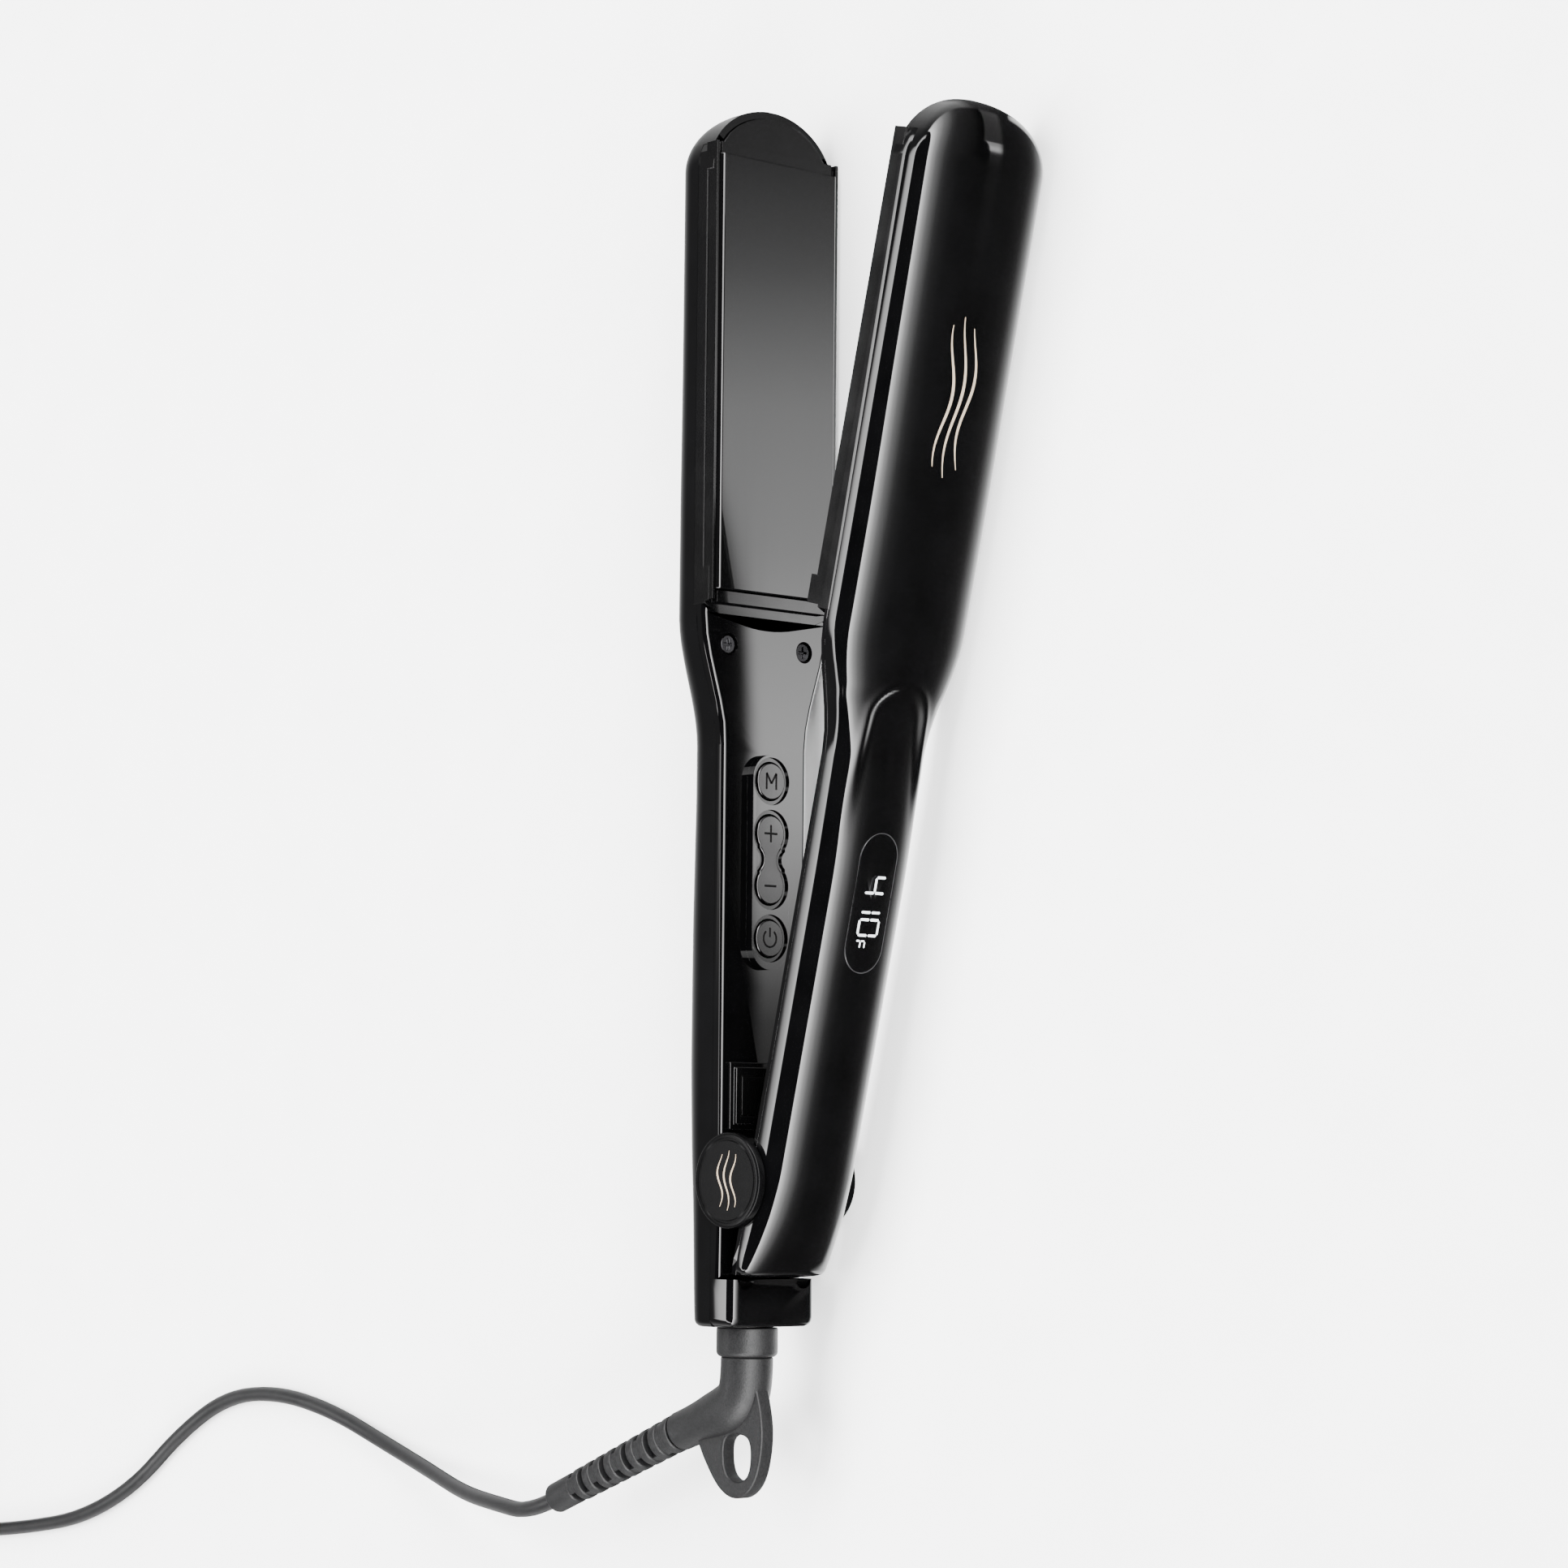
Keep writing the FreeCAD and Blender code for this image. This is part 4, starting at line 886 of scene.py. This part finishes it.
def lathe(profile, start, way, sides=96):
    """Turns (distance along the axis, radius) pairs, in millimetres, round an axis from start."""
    way = way.normalized()
    normal = way.orthogonal().normalized()
    other = way.cross(normal)
    built = bmesh.new()
    turns = [2 * math.pi * k / sides for k in range(sides)]
    loft(built, [[built.verts.new(start + way * (far * MM) + (normal * math.cos(turn)
                                                              + other * math.sin(turn)) * (radius * MM))
                  for turn in turns] for far, radius in profile])
    return built


def round_corner(far, radius, size, outward):
    """Profile points of a rounded corner. outward is +1 at the far end and -1 at the near end."""
    spots, steps = [], 5
    for i in range(steps + 1):
        turn = math.pi / 2 * i / steps
        if outward > 0:
            spots.append((far - size + size * math.sin(turn), radius - size + size * math.cos(turn)))
        else:
            spots.append((far + size - size * math.cos(turn), radius - size + size * math.sin(turn)))
    return spots


def make_caps():
    tall = CAP_OUTER - CAP_INNER
    profile = [(0, 0.5), (0, CAP_RADIUS - CAP_CHAMFER), (CAP_CHAMFER, CAP_RADIUS)]
    profile += round_corner(tall, CAP_RADIUS, CAP_ROUND, 1)
    profile += [(tall - down, CAP_RADIUS - inwards) for inwards, down in CAP_GROOVE] + [(tall, 0.5)]
    for sign, name in ((1, "upper"), (-1, "lower")):
        built = lathe(profile, row(0, PIN_DEPTH, sign * CAP_INNER), Vector((0, 0, sign)))
        new_piece("cap_disc_" + name, finish_mesh(built, "cap", angle=25), "cap_satin", "base",
                  "hinge_cap_" + name)


def make_end_block():
    """The block at the cord end, under the shell: a rounded box with two hinge notches."""
    top = SEAM_GRIP - 0.08
    built = bmesh.new()
    corners = ((BLOCK_LOW, -GRIP_HALF), (BLOCK_LOW, GRIP_HALF), (top, GRIP_HALF), (top, -GRIP_HALF))
    add_block(built, *([row(along, -reach, across) for reach, across in corners]
                       for along in (BASE_END, BLOCK_FRONT - 0.05)))
    deep = row(0, -(top - 0.5), 0).y
    ahead = row(BLOCK_FRONT - 0.5, 0, 0).x
    edges = [e for e in built.edges
             if min(v.co.y for v in e.verts) < deep and min(v.co.x for v in e.verts) < ahead]
    bmesh.ops.bevel(built, geom=edges, offset=BLOCK_ROUND * MM, segments=8, profile=0.5, affect="EDGES")
    mesh = finish_mesh(built, "end_block", angle=40)
    piece = new_piece("end_block", mesh, "gloss_cover", "base", "base_end_block")
    notches = [cylinder_cutter(row(BLOCK_FRONT + 0.2, 3, across), row(BLOCK_FRONT + 0.2, -0.7, across),
                               NOTCH_RADIUS * MM) for across in (-NOTCH_ACROSS, NOTCH_ACROSS)]
    carve(piece, notches + [swivel_cutter(-2, 8)])


def elbow_points():
    """The elbow's centre line as a few route points: out along the handle, then towards the lead."""
    return [row(along, depth, 0) for along, depth in
            ((-40.4, SWIVEL_DEPTH), (-45.0, SWIVEL_DEPTH), (-49.6, -8.6), (-52.4, -12.2), (-54.6, -18.8),
             (-56.5, -24.4), ELBOW_END)]


def make_elbow():
    path = tube_path(elbow_points(), per_run=8)
    count = len(path) - 1
    built = sweep(path, lambda i: (ELBOW_THICK - ELBOW_THINS * ease(0.45, 1.0, i / count)) * MM, sides=40)
    mesh = finish_mesh(built, "elbow_soft", angle=40)
    soften(new_piece("elbow_soft", mesh, "swivel_rubber", "cord_swivel", "swivel_elbow"), 0.35)
    profile = [(0, 3.0)] + round_corner(0, COLLAR_RADIUS, 0.25, -1)
    profile += round_corner(COLLAR_LONG, COLLAR_RADIUS, 1.3, 1) + [(COLLAR_LONG, 3.0)]
    built = lathe(profile, row(BASE_END - 0.3, SWIVEL_DEPTH, 0), Vector((-1, 0, 0)), sides=64)
    new_piece("collar_soft", finish_mesh(built, "collar_soft", angle=50), "swivel_rubber", "cord_swivel",
              "swivel_collar")


def flat_curve(outlines, thick, round_off, name):
    """A plate from smooth closed outlines of (along, depth) points: its edge, then its holes."""
    data = bpy.data.curves.new(name, "CURVE")
    data.dimensions = "2D"
    data.fill_mode = "BOTH"
    data.resolution_u = 8
    for outline in outlines:
        line = data.splines.new("NURBS")
        line.points.add(len(outline) - 1)
        for (along, depth), point in zip(outline, line.points):
            point.co = (along * MM, -depth * MM, 0, 1)
        line.order_u = 4
        line.use_cyclic_u = True
    data.extrude = (thick / 2 - round_off) * MM
    data.bevel_depth = round_off * MM
    data.bevel_resolution = 3
    data.offset = -round_off * MM
    mesh = curve_mesh(name, data)
    mesh.transform(Matrix.Translation(ORIGIN))
    mesh.shade_smooth()
    mesh.set_sharp_from_angle(angle=math.radians(40))
    return mesh


def make_tab():
    outline = [(-44.0, -3.5), (-50.0, -1.4), (-57.0, 0.2), (-64.5, -0.8), (-70.2, -3.0), (-73.6, -8.6),
               (-71.6, -14.6), (-66.0, -19.0), (-60.5, -22.6), (-57.0, -22.5), (-54.0, -17.0), (-49.5, -9.0)]
    slot = [(-57.9, -8.6), (-58.6, -13.3), (-63.0, -13.7), (-67.8, -12.9), (-69.4, -8.7), (-67.8, -4.6),
            (-63.0, -4.0), (-58.6, -4.4)]
    mesh = flat_curve([outline, slot], 4.0, 0.55, "hang_tab")
    new_piece("hang_tab", mesh, "swivel_rubber", "cord_swivel")


BOOT_PITCH, BOOT_RING, BOOT_RINGS, BOOT_FIRST = 4.35, 2.5, 9, 0.9
WEB_OPEN, WEB_CLOSED = 34, 76           # half the spread of a web, in degrees
WEB_ROOT = 2.3


def boot_web(start, way, middle, spread, near, far, tall):
    """A web between two of the boot's rings, round part of its core."""
    up = Vector((0, 0, 1))
    flat = way.cross(up)
    web = bmesh.new()
    lines = []
    for j in range(9):
        angle = middle + spread * (j / 4 - 1)
        out = flat * math.cos(angle) + up * math.sin(angle)
        lines.append([web.verts.new(start + (way * a + out * b) * MM)
                      for a, b in ((near, WEB_ROOT), (near, tall), (far, tall), (far, WEB_ROOT))])
    loft(web, lines)
    return web


def make_boot():
    """Strain relief: a soft core, rings that get smaller, webs at alternate sides and a long end ring."""
    start, end = row(*ELBOW_END, 0), row(*BOOT_END, 0)
    way = end - start
    length = way.length / MM
    way.normalize()
    parts = [lathe([(-1.0, 2.4), (length, 2.1)], start, way, sides=40)]
    for i in range(BOOT_RINGS):
        place = BOOT_FIRST + BOOT_PITCH * i
        radius = 4.45 - 0.75 * place / length
        profile = [(place, 2.0)] + round_corner(place, radius, 0.45, -1)
        profile += round_corner(place + BOOT_RING, radius, 0.45, 1) + [(place + BOOT_RING, 2.0)]
        parts.append(lathe(profile, start, way, sides=48))
        turn = 0 if i % 2 else math.pi / 2
        spread = math.radians(WEB_OPEN if i else WEB_CLOSED)
        near, far = place + BOOT_RING - 0.2, place + BOOT_PITCH + 0.2
        parts += [boot_web(start, way, turn + k * math.pi, spread, near, far, radius - 0.35) for k in (0, 1)]
    last = BOOT_FIRST + BOOT_PITCH * BOOT_RINGS
    profile = [(last, 2.0)] + round_corner(last, 3.7, 0.5, -1)
    profile += round_corner(length, 3.65, 0.6, 1) + [(length, 2.05)]
    parts.append(lathe(profile, start, way, sides=48))
    merged = bmesh.new()
    for part in parts:
        bmesh.ops.recalc_face_normals(part, faces=part.faces)
        mesh = bpy.data.meshes.new("part")
        part.to_mesh(mesh)
        part.free()
        merged.from_mesh(mesh)
        bpy.data.meshes.remove(mesh)
    mesh = bpy.data.meshes.new("boot_soft")
    merged.to_mesh(mesh)
    merged.free()
    mesh.shade_smooth()
    mesh.set_sharp_from_angle(angle=math.radians(35))
    new_piece("boot_soft", mesh, "swivel_rubber", "cord_swivel", "cord_boot")


# ---- the rest of the base and of the moving arm ----------------------------------------------
KEY_SUNK = 0.05             # how far the keys' faces lie under the strip's
GLYPH_LIFT, GLYPH_SUNK = 0.04, 0.10
STROKE, FINE_STROKE = 0.5, 0.45


def glyph_line(built, one, two, wide):
    """A straight stroke on a key's face, between two (along, across) spots."""
    (a0, w0), (a1, w1) = one, two
    run = math.hypot(a1 - a0, w1 - w0)
    da, dw = (a1 - a0) / run, (w1 - w0) / run
    spots = [(a0 - dw * wide / 2, w0 + da * wide / 2), (a1 - dw * wide / 2, w1 + da * wide / 2),
             (a1 + dw * wide / 2, w1 - da * wide / 2), (a0 + dw * wide / 2, w0 - da * wide / 2)]
    face = -(BOSS_TOP + KEY_SUNK)
    add_block(built, *([row(a, face + lift, w) for a, w in spots] for lift in (GLYPH_LIFT, -GLYPH_SUNK)))


def make_glyphs():
    """Generic marks: M for mode, plus, minus and the power sign."""
    sets = {}
    at = BUTTONS["mode"]
    sets["mode_key"] = built = bmesh.new()
    corners = [(at - 1.9, 1.5), (at + 1.9, 1.5), (at - 0.5, 0.0), (at + 1.9, -1.5), (at - 1.9, -1.5)]
    for one, two in zip(corners, corners[1:]):
        glyph_line(built, one, two, STROKE)
    sets["temperature_key"] = built = bmesh.new()
    at = BUTTONS["plus"]
    glyph_line(built, (at - 2.0, 0), (at + 2.0, 0), STROKE)
    glyph_line(built, (at, 2.0), (at, STROKE / 2), STROKE)
    glyph_line(built, (at, -STROKE / 2), (at, -2.0), STROKE)
    at = BUTTONS["minus"]
    glyph_line(built, (at, 1.8), (at, -1.8), STROKE)
    sets["power_key"] = built = bmesh.new()
    at = BUTTONS["power"]
    turns = [math.radians(38 + 284 * i / 22) for i in range(23)]
    arc = [(at + 2.0 * math.cos(t), 2.0 * math.sin(t)) for t in turns]
    for one, two in zip(arc, arc[1:]):
        glyph_line(built, one, two, FINE_STROKE)
    glyph_line(built, (at + 0.3, 0), (at + 2.5, 0), FINE_STROKE)
    for body, built in sets.items():
        new_piece(body + "_glyph", finish_mesh(built, body + "_glyph", angle=20), "mark_dark", body)


SOFT_COPIES = (("arm_inner_cover", "gloss_cover", "moving_arm", 0.3),
               ("base_plate_carrier", "satin_carrier", "base", 0.4),
               ("arm_plate_carrier", "satin_carrier", "moving_arm", 0.4),
               ("base_heating_plate", "plate_coating", "base_plate_float", 0.3),
               ("arm_heating_plate", "plate_coating", "arm_plate_float", 0.3),
               ("rest_pad", "satin_carrier", "base", 0.5),
               ("rest_pad_insert", "satin_carrier", "base", 0.1),
               ("mode_button", "button_black", "mode_key", 0.3),
               ("power_button", "button_black", "power_key", 0.3),
               ("temperature_rocker", "button_black", "temperature_key", 0.3),
               ("base_cover_screws", "screw_steel", "base", 0.12),
               ("arm_cover_screws", "screw_steel", "moving_arm", 0.12))


def make_soft_copies():
    soft_copy("base_inner_cover", "gloss_cover", "base", 0.15,
              first=lambda built: round_rim(built, BASE_COVER, 2.2, 1.3))
    for copy in SOFT_COPIES:
        soft_copy(*copy)


make_camera()
make_world()
make_lights()
make_floor()
soft_copy("plug_body", "plug_plastic", "base", 0.5)
soft_copy("coil_tie", "tie_strap", "base", 0.25)
make_cord()
make_base_shell()
make_arm_shell()
make_window()
make_digits()
make_strand_marks()
make_caps()
make_end_block()
make_elbow()
make_tab()
make_boot()
make_glyphs()
make_soft_copies()
